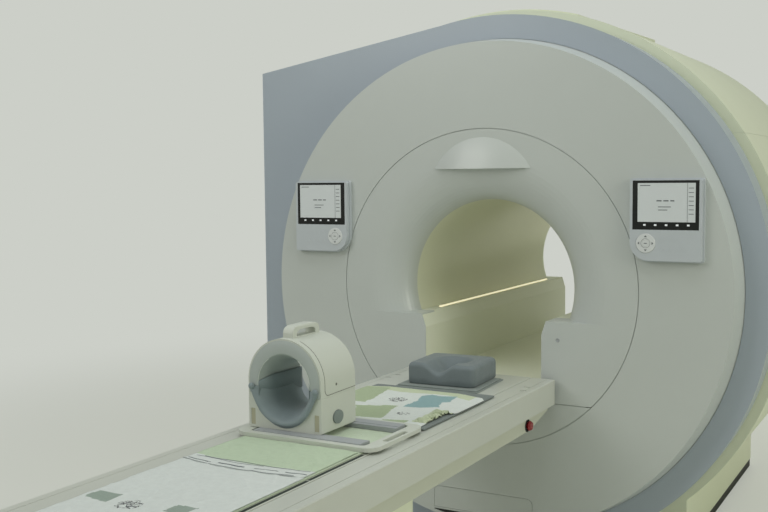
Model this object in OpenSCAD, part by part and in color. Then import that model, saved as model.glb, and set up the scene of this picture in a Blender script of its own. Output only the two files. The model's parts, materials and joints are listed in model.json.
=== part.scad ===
// Magnetic resonance scanner: gantry, patient table and knee coil.
// The origin is on the floor under the isocentre, +Y runs into the bore and +Z is up.

/* [Gantry] */
// Height of the bore axis above the floor
bore_h = 1040; // [1000:5:1100]
// Inner diameter of the bore
bore_d = 700; // [660:5:720]
// Length of the gantry from the front face to the rear face
gantry_l = 1700; // [1600:10:1900]
// Wall of the moulded covers
cover_t = 5; // [4:0.5:6]
// Radius of the seam between the disc cover and the funnel cover
seam_r = 631; // [615:1:650]
// Width of a visible seam between covers
seam_gap = 3; // [1:0.5:4]
// Width of a tight joint between back covers
joint_gap = 0.6; // [0.3:0.1:0.9]
// Overlap of the hidden flange behind a seam
flange_w = 12; // [10:1:16]
// Radius at which the flat funnel face turns into the mouth
mouth_r = 520; // [500:5:560]
// Depth of the front mouth
mouth_l = 117; // [100:1:140]
// Height of the disc cover's lowest point above the floor
disc_floor = 70; // [60:1:90]
// Widening of the disc cover towards its back edge
disc_slope = 17; // [14:1:22]
// Depth of the front edge chamfer of the disc
disc_edge_l = 25; // [20:1:30]
// Depth of the surround panel behind the disc face
surround_y = 105; // [95:1:120]
// Width of the surround panel round the disc cover
surround_w = 97; // [90:1:105]
// Length of the surround panel along the bore
surround_l = 145; // [130:1:160]
// Wall of the surround panel
surround_t = 8; // [7:0.5:9]
// Distance by which the side wing stands out past the back covers
wing_out = 10; // [5:1:40]
// Slope of the wing's top edge
wing_slope = 9; // [7:0.5:12]
// Gap between the surround panel and the floor
surround_floor = 12; // [8:1:20]
// Width of the dark groove behind the surround panel
groove_w = 10; // [6:1:12]
// Step from the surround panel out to the back covers
body_step = 36; // [28:1:44]
// Half width of the foot walls of the side covers
foot_x = 755; // [740:1:800]
// Height of the seam between top cover and side covers above the axis
top_seam_z = 595; // [560:5:640]
// Distance from the rear face back to the flat rear cover
rear_step = 50; // [40:1:60]
// Outer radius of the raised ring on the rear cover
rear_ring_r = 700; // [680:5:760]
// Width of the raised ring's slope
rear_slope_w = 78; // [60:2:90]
// Radius of the seam between the rear cover and the rear funnel
rear_seam_r = 560; // [540:5:590]
// Radius of the rear mouth at the rear face
rear_mouth_r = 450; // [420:5:480]
// Depth of the rear mouth
rear_mouth_l = 100; // [80:5:120]
// Height of the black plinth
plinth_h = 40; // [30:1:60]
// Distance by which the plinth stands back from the covers' ends
plinth_inset = 2; // [1:1:6]
// Width of the plinth's wall
plinth_t = 30; // [20:1:40]

/* [Top housing] */
// Half width of the raised housing on top
housing_x = 300; // [260:5:340]
// Height of the housing above the back covers at its front end
housing_front_h = 5; // [4:0.5:12]
// Height of the housing above the back covers at its rear end
housing_rear_h = 32; // [24:1:40]
// Distance of the housing behind the front face
housing_y = 270; // [265:1:340]
// Length of the top housing
housing_l = 1177; // [900:1:1185]

/* [Visor] */
// Half width of the visor above the bore
visor_x = 207; // [180:1:230]
// Height of the visor's lower edge above the axis
visor_z = 473; // [465:1:485]
// Rise of the visor above its lower edge
visor_rise = 124; // [100:1:130]
// Radius of the visor's domed face
visor_dome_r = 620; // [560:10:800]

/* [Magnet] */
// Distance between the magnet vessel and the outside of the back covers
vessel_gap = 160; // [140:5:190]
// Radius of the vessel's warm bore
vessel_bore_r = 640; // [635:1:660]
// Length of the magnet vessel
vessel_l = 1300; // [1200:10:1360]
// Chamfer of the vessel's end plates
vessel_chamfer = 40; // [20:5:60]
// Wall of the vessel
vessel_t = 10; // [8:1:14]
// Inner radius of the cold mass
cold_mass_bore_r = 700; // [680:5:720]
// Distance between the cold mass and the outside of the vessel
cold_mass_gap = 70; // [60:5:100]
// Length of the cold mass
cold_mass_l = 1100; // [1000:10:1160]
// Inner radius of the gradient coil
gradient_r = 476; // [474:1:490]
// Length of the gradient coil
gradient_l = 1360; // [1250:10:1400]
// Inner radius of the body coil's former
body_coil_r = 458; // [457:1:462]
// Wall of the body coil's former
body_coil_t = 8; // [6:1:10]
// Length of the body coil
body_coil_l = 620; // [500:10:800]
// Number of conductor rungs of the body coil
rungs = 16; // [8:2:24]
// Width of a conductor rung
rung_w = 40; // [20:1:50]
// Wall of the bore liner
liner_t = 6; // [5:0.5:8]
// Radius of the cold head's flange
cold_head_r = 95; // [85:5:110]
// Radius of the cold head's motor
cold_motor_r = 57; // [45:1:70]
// Radius of the cold head's stem
cold_stem_r = 50; // [35:1:60]
// Clearance round the cold head's stem
cold_stem_clear = 3; // [2:0.5:6]
// Clearance between the cold head and the top cover
cold_head_gap = 20; // [10:1:50]
// Distance of the cold head from the isocentre
cold_head_y = 280; // [200:10:400]
// Distance of the magnet's feet from the axis
magnet_foot_x = 560; // [500:5:600]
// Distance of the magnet's feet from the isocentre
magnet_foot_y = 425; // [380:5:430]
// Width of a magnet foot
magnet_foot_w = 160; // [140:5:200]
// Diameter of the anchor holes in the feet
anchor_d = 22; // [18:1:26]
// Spacing of the two anchor holes in a foot's flange
anchor_pitch = 196; // [190:2:204]
// Thickness of the foot flanges
foot_flange_t = 25; // [20:1:40]

/* [Table bridge] */
// Height of the bridge's ledges below the axis
ledge_drop = 119; // [110:1:130]
// Thickness of the ledges
ledge_t = 6; // [5:0.5:8]
// Half width of the trough at the ledges
trough_top_x = 270; // [266:1:280]
// Half width of the trough between its straight walls
trough_x = 252; // [250:1:256]
// Depth of the sloped part of the trough's wall
trough_slope_h = 54; // [40:1:70]
// Height of the trough's floor below the axis
trough_drop = 370; // [366:1:371]
// Wall of the bridge
bridge_t = 6; // [5:0.5:8]
// Distance of a light strip from the axis
light_x = 299; // [290:1:305]
// Width of a light strip
light_w = 10; // [6:1:12]
// Height of a light strip
light_h = 5; // [3:0.5:6]
// Distance of a light strip's front end behind the front face
light_y = 230; // [200:5:300]
// Length of a light strip
light_l = 1300; // [1000:10:1350]

/* [Access panel] */
// Half width of the access panel below the table
access_x = 215; // [190:5:240]
// Height of the access panel's top above the floor
access_top = 207; // [190:1:220]
// Height of the access panel's lower edge above the floor
access_low = 120; // [110:1:130]
// Radius of the access panel's upper corners
access_r = 24; // [10:1:35]
// Height of the kick plate's lower edge above the floor
kick_low = 88; // [84:1:100]
// Distance of the kick plate from the disc's edge
kick_edge = 14; // [12:1:20]
// Gap between the access panel and the kick plate
kick_gap = 10; // [6:1:14]
// Height of the funnel's lower seam below the axis
funnel_seam_drop = 439; // [430:1:450]

/* [Control panels] */
// Distance of a control panel's inner edge from the axis
panel_x = 600; // [590:1:610]
// Width of a control panel
panel_w = 268; // [250:1:275]
// Height of a control panel's lower edge above the axis
panel_z = 126; // [110:1:150]
// Height of a control panel
panel_h = 304; // [290:1:320]
// Depth of a control panel
panel_d = 34; // [26:1:44]
// Depth of the panel's wide base
panel_base_d = 16; // [10:1:20]
// Inset of the panel's face from its base
panel_inset = 5; // [3:1:10]
// Radius of the panel's large corner
panel_corner_r = 74; // [60:1:80]
// Radius of the panel's other corners
panel_small_r = 10; // [8:1:14]
// Width of the screen glass
screen_w = 238; // [220:1:244]
// Height of the screen glass
screen_h = 178; // [160:1:180]
// Distance of the screen glass from the panel's top edge
screen_top = 8; // [7:1:12]
// Depth of the screen's pocket
screen_t = 4; // [3:0.5:6]
// Radius of the arrow pad
pad_r = 36; // [30:1:38]
// Distance of the arrow pad's centre from the inner edge
pad_x = 64; // [58:1:68]
// Distance of the arrow pad's centre from the lower edge
pad_z = 69; // [60:1:74]
// Height by which the arrow pad stands proud
pad_proud = 2.5; // [2:0.1:4]
// Radius of the centre button
centre_r = 12; // [10:0.5:15]
// Travel of the panel's buttons
pad_travel = 1.5; // [1:0.1:1.8]
// Clearance round a button
button_clear = 0.5; // [0.3:0.1:1]
// Radius of a small key
key_r = 6; // [5:0.5:7]
// Height of a small key
key_h = 0.8; // [0.5:0.1:1.2]
// Spacing of the small keys
key_pitch = 24; // [20:1:25]

/* [Table] */
// Height of the table's rim above the floor
table_h = 701; // [690:1:710]
// Half width of the table
table_x = 316; // [305:1:325]
// Gap between the gantry's front face and the table's head end
table_gap = 23; // [15:1:40]
// Length of the table
table_l = 2400; // [2350:10:2600]
// Height of the side rails
rail_h = 96; // [90:1:104]
// Wall of the side rails
rail_t = 5; // [4:0.5:6]
// Distance of the rim's groove from the edge
rim_groove = 30; // [24:1:36]
// Width and depth of the rim's groove
rim_groove_w = 2; // [1.5:0.5:3]
// Width of an accessory socket in the rim
socket_w = 26; // [20:1:30]
// Distance of the first accessory socket from the head end
socket_y = 178; // [150:1:220]
// Spacing of the accessory sockets
socket_pitch = 63; // [50:1:80]
// Depth of the skirt below the side rails
skirt_h = 60; // [56:1:64]
// Depth of the skirt at the head end
skirt_nose_h = 22; // [15:1:30]
// Length of the skirt's sloped nose
skirt_nose_l = 190; // [150:5:220]
// Distance of the skirt's ends from the table's ends
skirt_end = 12; // [8:1:16]
// Half width of the skirt
skirt_x = 292; // [285:1:300]
// Height of the frame's floor plate below the rim
frame_drop = 105; // [103:1:108]
// Thickness of the frame's floor plate
frame_t = 8; // [6:1:10]
// Distance of the frame's ends from the table's ends
frame_end = 30; // [28:1:36]
// Distance of the guide rails from the middle
guide_x = 150; // [120:5:170]
// Width of a guide rail
guide_w = 24; // [18:1:30]

/* [Cradle] */
// Half width of the sliding cradle
cradle_x = 220; // [216:1:223]
// Thickness of the cradle
cradle_t = 28; // [26:1:30]
// Height of the cradle's top above the rim
cradle_proud = 2; // [1:0.5:3]
// Half width of the cradle's underside
cradle_low_x = 190; // [180:1:200]
// Gap between cradle and side rails
cradle_gap = 3; // [2:0.5:4]
// Distance of the cradle's head end inside the table's head end
cradle_inset = 6; // [2:1:10]
// Length of the cradle
cradle_l = 2370; // [2340:10:2380]
// Width of the strips let into the cradle
strip_w = 11; // [8:1:12]
// Distance of the strips from the cradle's edge
strip_edge = 3; // [2:0.5:4]
// Depth of the strips' grooves
strip_t = 3; // [2:0.5:4]
// Distance of the strips from the cradle's head end
strip_y = 1262; // [1200:5:1300]
// Length of the shorter, front strips
strip_l = 275; // [250:5:300]

/* [Cradle drive] */
// Radius of the belt pulleys
pulley_r = 24; // [22:1:25]
// Width of the drive belt
belt_w = 30; // [20:1:36]
// Thickness of the drive belt
belt_t = 3; // [2:0.5:4]
// Distance of the pulleys from the table's ends
pulley_end = 70; // [60:5:100]
// Radius of a pulley's shaft
shaft_r = 8; // [6:0.5:10]
// Length of the belt clamp
clamp_l = 80; // [60:5:100]

/* [Pedestal] */
// Distance of the pedestal from the table's head end
pedestal_y = 1077; // [1000:5:1150]
// Length of the pedestal
pedestal_l = 960; // [900:10:1000]
// Half width of the pedestal's upper cover
pedestal_x = 284; // [276:1:290]
// Corner radius of the pedestal's covers
pedestal_r = 40; // [30:1:50]
// Height of the upper cover's lower edge above the floor
upper_low = 215; // [200:5:230]
// Height of the lower cover's top above the floor
lower_top = 392; // [385:1:400]
// Clearance between the pedestal's covers
pedestal_clear = 5; // [3:0.5:8]
// Thickness of the base plate
base_t = 12; // [10:1:20]
// Overhang of the base plate round the lower cover
base_rim = 30; // [24:1:40]
// Width of a lift column
column_w = 120; // [100:5:140]
// Wall of the lift columns
column_t = 8; // [6:1:10]
// Clearance between the nested lift columns
column_clear = 0.4; // [0.3:0.05:0.8]
// Distance between the two lift columns
column_pitch = 480; // [400:10:560]
// Height of the outer columns' tops above the floor
column_top = 398; // [390:1:402]
// Height of the inner columns' lower ends above the floor
column_low = 204; // [200:1:210]

/* [Emergency stops] */
// Distance of an emergency stop from the table's head end
estop_y = 222; // [215:1:260]
// Height of an emergency stop below the rim
estop_drop = 133; // [128:1:138]
// Radius of the mushroom head
estop_r = 19; // [16:0.5:20]
// Radius of the stem
estop_stem_r = 11; // [9:0.5:12]
// Travel of the mushroom head
estop_travel = 5; // [3:0.5:6]

/* [Pads and sheets] */
// Half width of the mattress
mattress_x = 204; // [195:1:205]
// Thickness of the mattress
mattress_t = 6; // [4:0.5:8]
// Length of the mattress, from the coil tray's rear to its foot end
mattress_l = 1410; // [1370:5:1415]
// Thickness of a folded sheet
sheet_t = 2; // [1.5:0.1:3]
// Distance of the front sheet from the mattress's foot end
sheet_end = 8; // [4:1:20]
// Length of the green towel
towel_l = 276; // [260:2:300]
// Gap between two sheets or between a sheet and the coil tray
sheet_gap = 6; // [3:1:10]
// Half width of the draw sheet
sheet_x = 243; // [235:1:245]
// Length of the draw sheet
sheet_l = 500; // [450:5:520]
// Width by which the elastic draws the sheet's right edge in
sheet_tuck = 23; // [16:1:30]
// Number of gathers at the draw sheet's elastic edge
gathers = 18; // [8:1:20]
// Spacing of the gathers
gather_pitch = 9; // [7:0.5:10]
// Radius of a gather
gather_r = 5; // [3:0.5:6]
// Length of a gather
gather_l = 40; // [30:2:50]
// Distance of the gathers' middle from the sheet's near end
gather_y = 130; // [110:5:180]
// Thickness of a foam mat
mat_t = 4; // [3:0.5:5]
// Clearance under a soft piece
soft_clear = 0.3; // [0.2:0.05:0.5]
// Half width of the lower mat, which lies below the draw sheet
mat_low_x = 238; // [230:1:242]
// Length of the lower mat
mat_low_l = 545; // [520:5:560]
// Gap between the two mats
mat_gap = 6; // [2:1:12]
// Width of the folded upper mat
mat_top_w = 330; // [310:5:350]
// Length of the folded upper mat
mat_top_l = 275; // [265:5:290]
// Distance by which the upper mat's lower layer stands out
mat_step = 7; // [3:1:12]
// Distance of the upper mat's middle from the axis
mat_x = 10; // [0:1:20]

/* [Head cushion] */
// Width of the cushion
cushion_w = 270; // [250:1:290]
// Length of the cushion
cushion_l = 250; // [230:1:270]
// Height of the cushion
cushion_h = 82; // [70:1:95]
// Depth of the cushion's hollow
cushion_hollow = 34; // [24:1:40]
// Turn of the cushion and the upper mat on the table
cushion_turn = 3; // [0:0.5:6]
// Distance of the cushion's middle beyond the upper mat's middle
cushion_shift = 27; // [10:1:40]

/* [Knee coil] */
// Width of the coil
coil_w = 264; // [250:1:270]
// Length of the coil
coil_l = 195; // [185:1:200]
// Height of the coil
coil_h = 279; // [270:1:290]
// Height of the coil's lower half
coil_split = 107; // [100:1:112]
// Distance of the coil from the middle at rest
coil_x = 98; // [90:1:105]
// Radius of the hollow in the lower half
coil_cavity_r = 99; // [92:1:100]
// Radius of the arch in the upper half
coil_arch_r = 70; // [64:1:74]
// Height of the arch's centre above the split
coil_arch_z = 30; // [20:1:40]
// Wall of the upper shell
coil_shell_t = 14; // [10:1:18]
// Depth of the front rim round the liner
coil_rim = 4; // [2:0.5:6]
// Radius of the lower pad's front flange
coil_flange_r = 104; // [102:1:106]
// Thickness of the lower pad's front flange
coil_flange_t = 10; // [6:1:14]
// Radius of the lower pad's mouth
coil_mouth_r = 91; // [86:1:94]
// Radius of the lower pad's throat
coil_throat_r = 66; // [60:1:72]
// Length of the handle
handle_l = 146; // [120:1:160]
// Width of the handle
handle_w = 36; // [28:1:42]
// Height of the finger gap under the handle
handle_gap = 22; // [20:1:26]
// Thickness of the handle's bar
handle_t = 14; // [11:1:16]
// Width of the release button
release_w = 54; // [44:1:60]
// Height of the release button
release_h = 42; // [36:1:46]
// Height of the release button's centre above the coil's base
release_z = 39; // [36:1:42]
// Travel of the release button
release_travel = 4; // [3:0.5:5]
// Width of the recesses at the front corners
recess_w = 16; // [12:1:20]
// Height of the recesses at the front corners
recess_h = 50; // [40:1:56]
// Distance of a recess from the coil's side and base
recess_edge = 8; // [6:1:12]
// Depth of the recesses
recess_t = 2; // [1:0.5:3]

/* [Coil tray] */
// Half width of the tray
tray_x = 246; // [240:1:247]
// Distance of the tray's front from the cradle's head end
tray_y = 1261; // [1240:1:1280]
// Length of the tray
tray_l = 320; // [312:1:330]
// Thickness of the tray
tray_t = 12; // [10:0.5:14]
// Width of the tray's front and rear bars
tray_bar = 24; // [20:1:26]
// Width of the tray's side bars
tray_side = 44; // [40:1:50]
// Corner radius of the tray
tray_r = 42; // [30:1:50]
// Radius of the tray's inner corners
tray_inner_r = 14; // [10:1:20]
// Width of the tray's handle slots
tray_slot_w = 20; // [16:1:24]
// Length of the tray's handle slots
tray_slot_l = 130; // [110:1:150]
// Height of the coil's rails above the tray
coil_rail_proud = 3; // [2:0.5:4]
// Width of the coil's rails
coil_rail_w = 24; // [20:1:26]
// Depth of the step that carries the coil
coil_step = 18; // [14:1:22]
// Running clearance between sliding pieces
slide_clear = 0.3; // [0.25:0.05:0.4]

/* [Hidden] */
$fn = 96;
cover_colour = [0.86, 0.87, 0.84];
body_colour = [0.84, 0.86, 0.76];
surround_colour = [0.62, 0.66, 0.70];
metal_colour = [0.72, 0.73, 0.75];
dark_colour = [0.10, 0.10, 0.11];
grey_colour = [0.45, 0.48, 0.50];
foam_colour = [0.40, 0.44, 0.45];
far = 3000;
front_y = -gantry_l / 2;
rear_y = gantry_l / 2;
bore_r = bore_d / 2;
disc_r = bore_h - disc_floor;
disc_back_r = disc_r + disc_slope;
surround_r = disc_back_r + surround_w;
body_r = surround_r + body_step;
wing_x = body_r + wing_out;
vessel_r = body_r - vessel_gap;
cold_mass_r = vessel_r - cold_mass_gap;
cold_head_z = body_r - cover_t - cold_head_gap;
seam_half = seam_gap / 2;
joint_half = joint_gap / 2;
ledge_z = bore_h - ledge_drop;
back_y = front_y + surround_y + surround_l + groove_w;
rear_flat_y = rear_y - rear_step;
rear_bell_y = rear_y - rear_mouth_l;
foot_join_z = bore_h - body_r / 2;
vessel_y = -vessel_l / 2;
plinth_y0 = back_y + plinth_inset;
plinth_y1 = rear_flat_y - plinth_inset;
foot_flange_l = 2 * (-plinth_y0 - plinth_t - slide_clear - magnet_foot_y);
mouth_segments = 14;
corner_segments = 6;
visor_r = (visor_x * visor_x + visor_rise * visor_rise) / (2 * visor_rise);
visor_centre_z = bore_h + visor_z + visor_rise - visor_r;
visor_centre_y = front_y + sqrt(visor_dome_r * visor_dome_r - visor_r * visor_r);
head_y = front_y - table_gap;
foot_y = head_y - table_l;
rail_low = table_h - rail_h;
skirt_low = rail_low - skirt_h;
frame_z = table_h - frame_drop;
inner_x = cradle_x + cradle_gap;
cradle_top = table_h + cradle_proud;
cradle_low = cradle_top - cradle_t;
cradle_head_y = head_y - cradle_inset;
cradle_foot_y = cradle_head_y - cradle_l;
belt_top = cradle_low - 17;
pulley_z = belt_top - belt_t - pulley_r;
pulley_head_y = head_y - pulley_end;
pulley_foot_y = foot_y + pulley_end;
pedestal_front_y = head_y - pedestal_y;
pedestal_back_y = pedestal_front_y - pedestal_l;
column_mid_y = (pedestal_front_y + pedestal_back_y) / 2;
mattress_z = cradle_top + soft_clear;
mattress_top = mattress_z + mattress_t;
sheet_z = mattress_top + soft_clear;
tray_z = mattress_top + slide_clear;
tray_front_y = cradle_head_y - tray_y;
tray_back_y = tray_front_y + tray_l;
mattress_foot_y = tray_back_y - mattress_l;
towel_y = tray_front_y - sheet_gap - towel_l;
mat_low_y = tray_back_y + sheet_gap / 2;
mat_top_y = mat_low_y + mat_low_l + mat_gap
  + (mat_top_l * cos(cushion_turn) + mat_top_w * sin(cushion_turn)) / 2;
cushion_z = mattress_z + 2 * mat_t + soft_clear;
lower_inset = cover_t + pedestal_clear;
coil_z = tray_z + tray_t + coil_rail_proud - 1;
coil_front_y = tray_front_y + tray_bar + coil_rail_w + 12;
coil_back_y = coil_front_y + coil_l;
coil_split_z = coil_z + coil_split;
coil_dome_z = coil_z + coil_h - coil_w / 2;
coil_axis_x = -coil_x;
coil_top_z = coil_z + coil_h;

function arc(c, r, a0, a1, n = corner_segments) =
  [for (i = [0:n]) let (a = a0 + (a1 - a0) * i / n) [c[0] + r * cos(a), c[1] + r * sin(a)]];
function rounded(x0, y0, x1, y1, r) = concat(
  arc([x0 + r[0], y0 + r[0]], r[0], 180, 270), arc([x1 - r[1], y0 + r[1]], r[1], 270, 360),
  arc([x1 - r[2], y1 - r[2]], r[2], 0, 90), arc([x0 + r[3], y1 - r[3]], r[3], 90, 180));
function backwards(p) = [for (i = [len(p) - 1:-1:0]) p[i]];
function both_sides(p) = concat(p, backwards([for (q = p) [-q[0], q[1]]]));
function bell(r_out, r_in, y, depth) = [for (i = [0:mouth_segments]) let (a = 90 * i / mouth_segments)
  [r_out - (r_out - r_in) * sin(a), y + depth * (1 - cos(a))]];

module turned(points) {
  translate([0, 0, bore_h]) rotate([-90, 0, 0]) rotate_extrude($fn = 180) polygon(points);
}
module along_y(y0, y1) { translate([0, y1, 0]) rotate([90, 0, 0]) linear_extrude(y1 - y0) children(); }
module along_x(x0, x1) { translate([x0, 0, 0]) rotate([90, 0, 90]) linear_extrude(x1 - x0) children(); }
module along_z(z0, z1) { translate([0, 0, z0]) linear_extrude(z1 - z0) children(); }
module block(p, q) { translate(p) cube(q - p); }
module above(z) { block([-far, -far, z], [far, far, far]); }
module below(z) { block([-far, -far, -far], [far, far, z]); }
module axis_disc(r) { translate([0, bore_h]) circle(r = r, $fn = 180); }

// Trough of the bridge, grown by t
module trough_2d(t, top = 0) {
  polygon(both_sides([[trough_x + t, bore_h - trough_drop - t], [trough_x + t, ledge_z - trough_slope_h],
    [trough_top_x + t, ledge_z + top]]));
}

// Flat cover round the lower half of a mouth, open at the trough
module mouth_plate_2d(r, low) {
  difference() {
    intersection() {
      axis_disc(r);
      translate([-far, low]) square([2 * far, ledge_z - low]);
    }
    trough_2d(0, 1);
  }
}

// Ledges that fill a mouth on both sides of the trough
module mouth_ledges(y0, y1) {
  for (s = [-1, 1]) along_y(y0, y1)
    translate([s > 0 ? trough_top_x : -far, ledge_z - ledge_t]) square([far - trough_top_x, ledge_t]);
}

// Outline of the surround panel with its wing, inset by t
module surround_2d(t) {
  r = surround_r - t;
  start = [(r - 1.5) * sin(-wing_slope), bore_h + (r - 1.5) * cos(wing_slope)];
  edge_x = -wing_x + t;
  intersection() {
    union() {
      axis_disc(r);
      polygon([start, [edge_x, start[1] + (edge_x - start[0]) * tan(wing_slope)],
        [edge_x, 0], [0, 0], [0, bore_h]]);
    }
    translate([-far, surround_floor]) square([2 * far, far]);
  }
}

// Outline of the back covers, inset by t
module body_2d(t) {
  intersection() {
    union() {
      axis_disc(body_r - t);
      translate([-foot_x + t, 0]) square([2 * (foot_x - t), foot_join_z]);
    }
    translate([-far, plinth_h]) square([2 * far, far]);
  }
}

module back_shell() {
  along_y(back_y, rear_flat_y - cover_t) difference() { body_2d(0); body_2d(cover_t); }
  along_y(back_y, back_y + cover_t) difference() { body_2d(0); axis_disc(surround_r - 40); }
}

// Outline of the opening for the access panel, grown by t
module access_2d(t) {
  polygon(rounded(-access_x - t, access_low - t, access_x + t, access_top + t,
    [1, 1, access_r + t, access_r + t]));
}

// Outline of the kick plate's opening, grown by t
module kick_2d(t) {
  intersection() {
    axis_disc(disc_r - kick_edge + t);
    translate([-access_x - t, kick_low - t])
      square([2 * (access_x + t), access_low - kick_gap - kick_low + 2 * t]);
  }
}

module front_cover() {
  color(cover_colour) difference() {
    turned([[seam_r + seam_half, front_y], [disc_r, front_y],
      [disc_r + 5, front_y + disc_edge_l], [disc_back_r, front_y + surround_y - 13],
      [disc_back_r + 1, front_y + surround_y + cover_t],
      [disc_back_r + flange_w, front_y + surround_y + cover_t],
      [disc_back_r + flange_w, front_y + surround_y + 2 * cover_t],
      [disc_back_r - cover_t, front_y + surround_y + 2 * cover_t],
      [disc_r, front_y + disc_edge_l + 2], [disc_r - cover_t, front_y + cover_t],
      [seam_r + seam_half, front_y + cover_t]]);
    along_y(front_y - 1, front_y + cover_t + 1) { access_2d(seam_half); kick_2d(seam_half); }
  }
}

// Flange that is hidden behind the round front seam
module seam_flange() {
  turned([[seam_r - flange_w, front_y + cover_t - 1], [seam_r - seam_half, front_y + cover_t - 1],
    [seam_r - seam_half, front_y + cover_t], [seam_r + flange_w, front_y + cover_t],
    [seam_r + flange_w, front_y + 2 * cover_t], [seam_r - flange_w, front_y + 2 * cover_t]]);
}

module funnel_cover() {
  color(cover_colour) {
    intersection() {
      union() {
        turned(concat([[seam_r - seam_half, front_y]], bell(mouth_r, bore_r, front_y, mouth_l),
          backwards(bell(mouth_r, bore_r + cover_t, front_y + cover_t, mouth_l - cover_t)),
          [[seam_r - seam_half, front_y + cover_t]]));
        seam_flange();
      }
      above(ledge_z);
    }
    intersection() {
      translate([0, visor_centre_y, visor_centre_z]) sphere(r = visor_dome_r, $fn = 120);
      block([-2 * visor_x, -far, bore_h + visor_z], [2 * visor_x, front_y + 2 * cover_t - 1, far]);
    }
  }
}

// Lower half of the front mouth, with its ledges
module mouth_plate() {
  low = bore_h - funnel_seam_drop + seam_half;
  color(cover_colour) {
    along_y(front_y, front_y + cover_t) mouth_plate_2d(seam_r - seam_half, low);
    intersection() {
      seam_flange();
      block([-far, -far, low], [far, far, ledge_z]);
    }
    intersection() {
      mouth_ledges(front_y, front_y + mouth_l);
      turned(concat([[0, front_y], [mouth_r + 1, front_y]],
        bell(mouth_r + 1, bore_r + 2, front_y + 2, mouth_l - 2), [[0, front_y + mouth_l]]));
    }
  }
}

module lower_front_cover() {
  low_seam = bore_h - funnel_seam_drop - seam_half;
  color(cover_colour) {
    along_y(front_y, front_y + cover_t) intersection() {
      axis_disc(seam_r - seam_half);
      translate([-far, 0]) square([2 * far, low_seam]);
    }
    along_y(front_y + cover_t - 1, front_y + 2 * cover_t) intersection() {
      axis_disc(seam_r - seam_half - 1);
      translate([-far, low_seam - 8]) square([2 * far, 8]);
    }
    along_y(front_y + cover_t, front_y + 2 * cover_t) intersection() {
      axis_disc(seam_r - 16);
      translate([-far, low_seam - 8]) square([2 * far, 8 + flange_w]);
    }
    intersection() {
      seam_flange();
      below(low_seam);
    }
  }
}

module access_panel() {
  color(cover_colour) {
    along_y(front_y, front_y + cover_t) access_2d(0);
    along_y(front_y + cover_t, front_y + cover_t + 3) difference() {
      access_2d(6);
      translate([-far, access_low - 20]) square([2 * far, 20]);
    }
  }
}

module kick_plate() {
  color(dark_colour) along_y(front_y + cover_t, front_y + cover_t + 4) kick_2d(4);
}

module surround_panel() {
  y0 = front_y + surround_y;
  color(surround_colour) {
    along_y(y0, y0 + cover_t) difference() { surround_2d(0); axis_disc(disc_back_r + seam_gap); }
    along_y(y0, y0 + surround_l) difference() { surround_2d(0); surround_2d(surround_t); }
    along_y(y0 + surround_l - cover_t, y0 + surround_l) difference() {
      surround_2d(0);
      axis_disc(surround_r - 24);
    }
    along_y(y0 + surround_l - cover_t, back_y) difference() { surround_2d(4); surround_2d(surround_t); }
  }
}

module side_cover(s) {
  color(body_colour) intersection() {
    back_shell();
    block([s > 0 ? 0 : -far, -far, 0], [s > 0 ? far : 0, far, bore_h + top_seam_z - joint_half]);
  }
}
module side_cover_left() { side_cover(-1); }
module side_cover_right() { side_cover(1); }

module top_cover() {
  color(body_colour) intersection() {
    back_shell();
    above(bore_h + top_seam_z + joint_half);
  }
}

// Wedge of the top housing over the round covers, inset by t
module housing_wedge(t) {
  y0 = front_y + housing_y;
  low_r = body_r + slide_clear - 2 * t;
  intersection() {
    turned([[low_r, y0 + t], [body_r + housing_front_h - t, y0 + t],
      [body_r + housing_rear_h - t, y0 + housing_l - t], [low_r, y0 + housing_l - t]]);
    block([-housing_x + t, -far, bore_h], [housing_x - t, far, far]);
  }
}
module top_housing() {
  color(body_colour) difference() {
    housing_wedge(0);
    housing_wedge(cover_t);
  }
}

module rear_cover() {
  seam = rear_seam_r + joint_half;
  slope_r = rear_ring_r - rear_slope_w;
  color(body_colour) {
    along_y(rear_flat_y - cover_t, rear_flat_y) difference() {
      body_2d(0);
      axis_disc(rear_ring_r - cover_t);
    }
    turned([[seam, rear_y - cover_t], [seam, rear_y], [slope_r, rear_y], [rear_ring_r, rear_flat_y],
      [rear_ring_r, rear_flat_y - cover_t], [rear_ring_r - cover_t, rear_flat_y - cover_t],
      [slope_r - 2, rear_y - cover_t]]);
  }
}

// Points of the rear mouth's bell, seen from the rear face
function rear_bell(r_out, r_in, y, depth) = [for (p = bell(r_out, r_in, y, depth)) [p[0], rear_y - p[1]]];
module rear_funnel() {
  seam = rear_seam_r - joint_half;
  color(body_colour) {
    intersection() {
      turned(concat([[seam, rear_y]], rear_bell(rear_mouth_r, bore_r, 0, rear_mouth_l),
        backwards(rear_bell(rear_mouth_r, bore_r + cover_t, cover_t, rear_mouth_l - cover_t)),
        [[seam, rear_y - cover_t]]));
      above(ledge_z - ledge_t / 2);
    }
    turned([[rear_seam_r - flange_w, rear_y - cover_t + 1], [seam, rear_y - cover_t + 1],
      [seam, rear_y - cover_t], [rear_seam_r + flange_w, rear_y - cover_t],
      [rear_seam_r + flange_w, rear_y - 2 * cover_t], [rear_seam_r - flange_w, rear_y - 2 * cover_t]]);
    along_y(rear_y - cover_t, rear_y) mouth_plate_2d(seam, bore_h - rear_seam_r);
    intersection() {
      mouth_ledges(rear_bell_y, rear_y);
      turned(concat([[0, rear_y], [rear_mouth_r + 1, rear_y]],
        rear_bell(rear_mouth_r + 1, bore_r + 2, 2, rear_mouth_l - 2), [[0, rear_bell_y]]));
    }
  }
}

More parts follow.
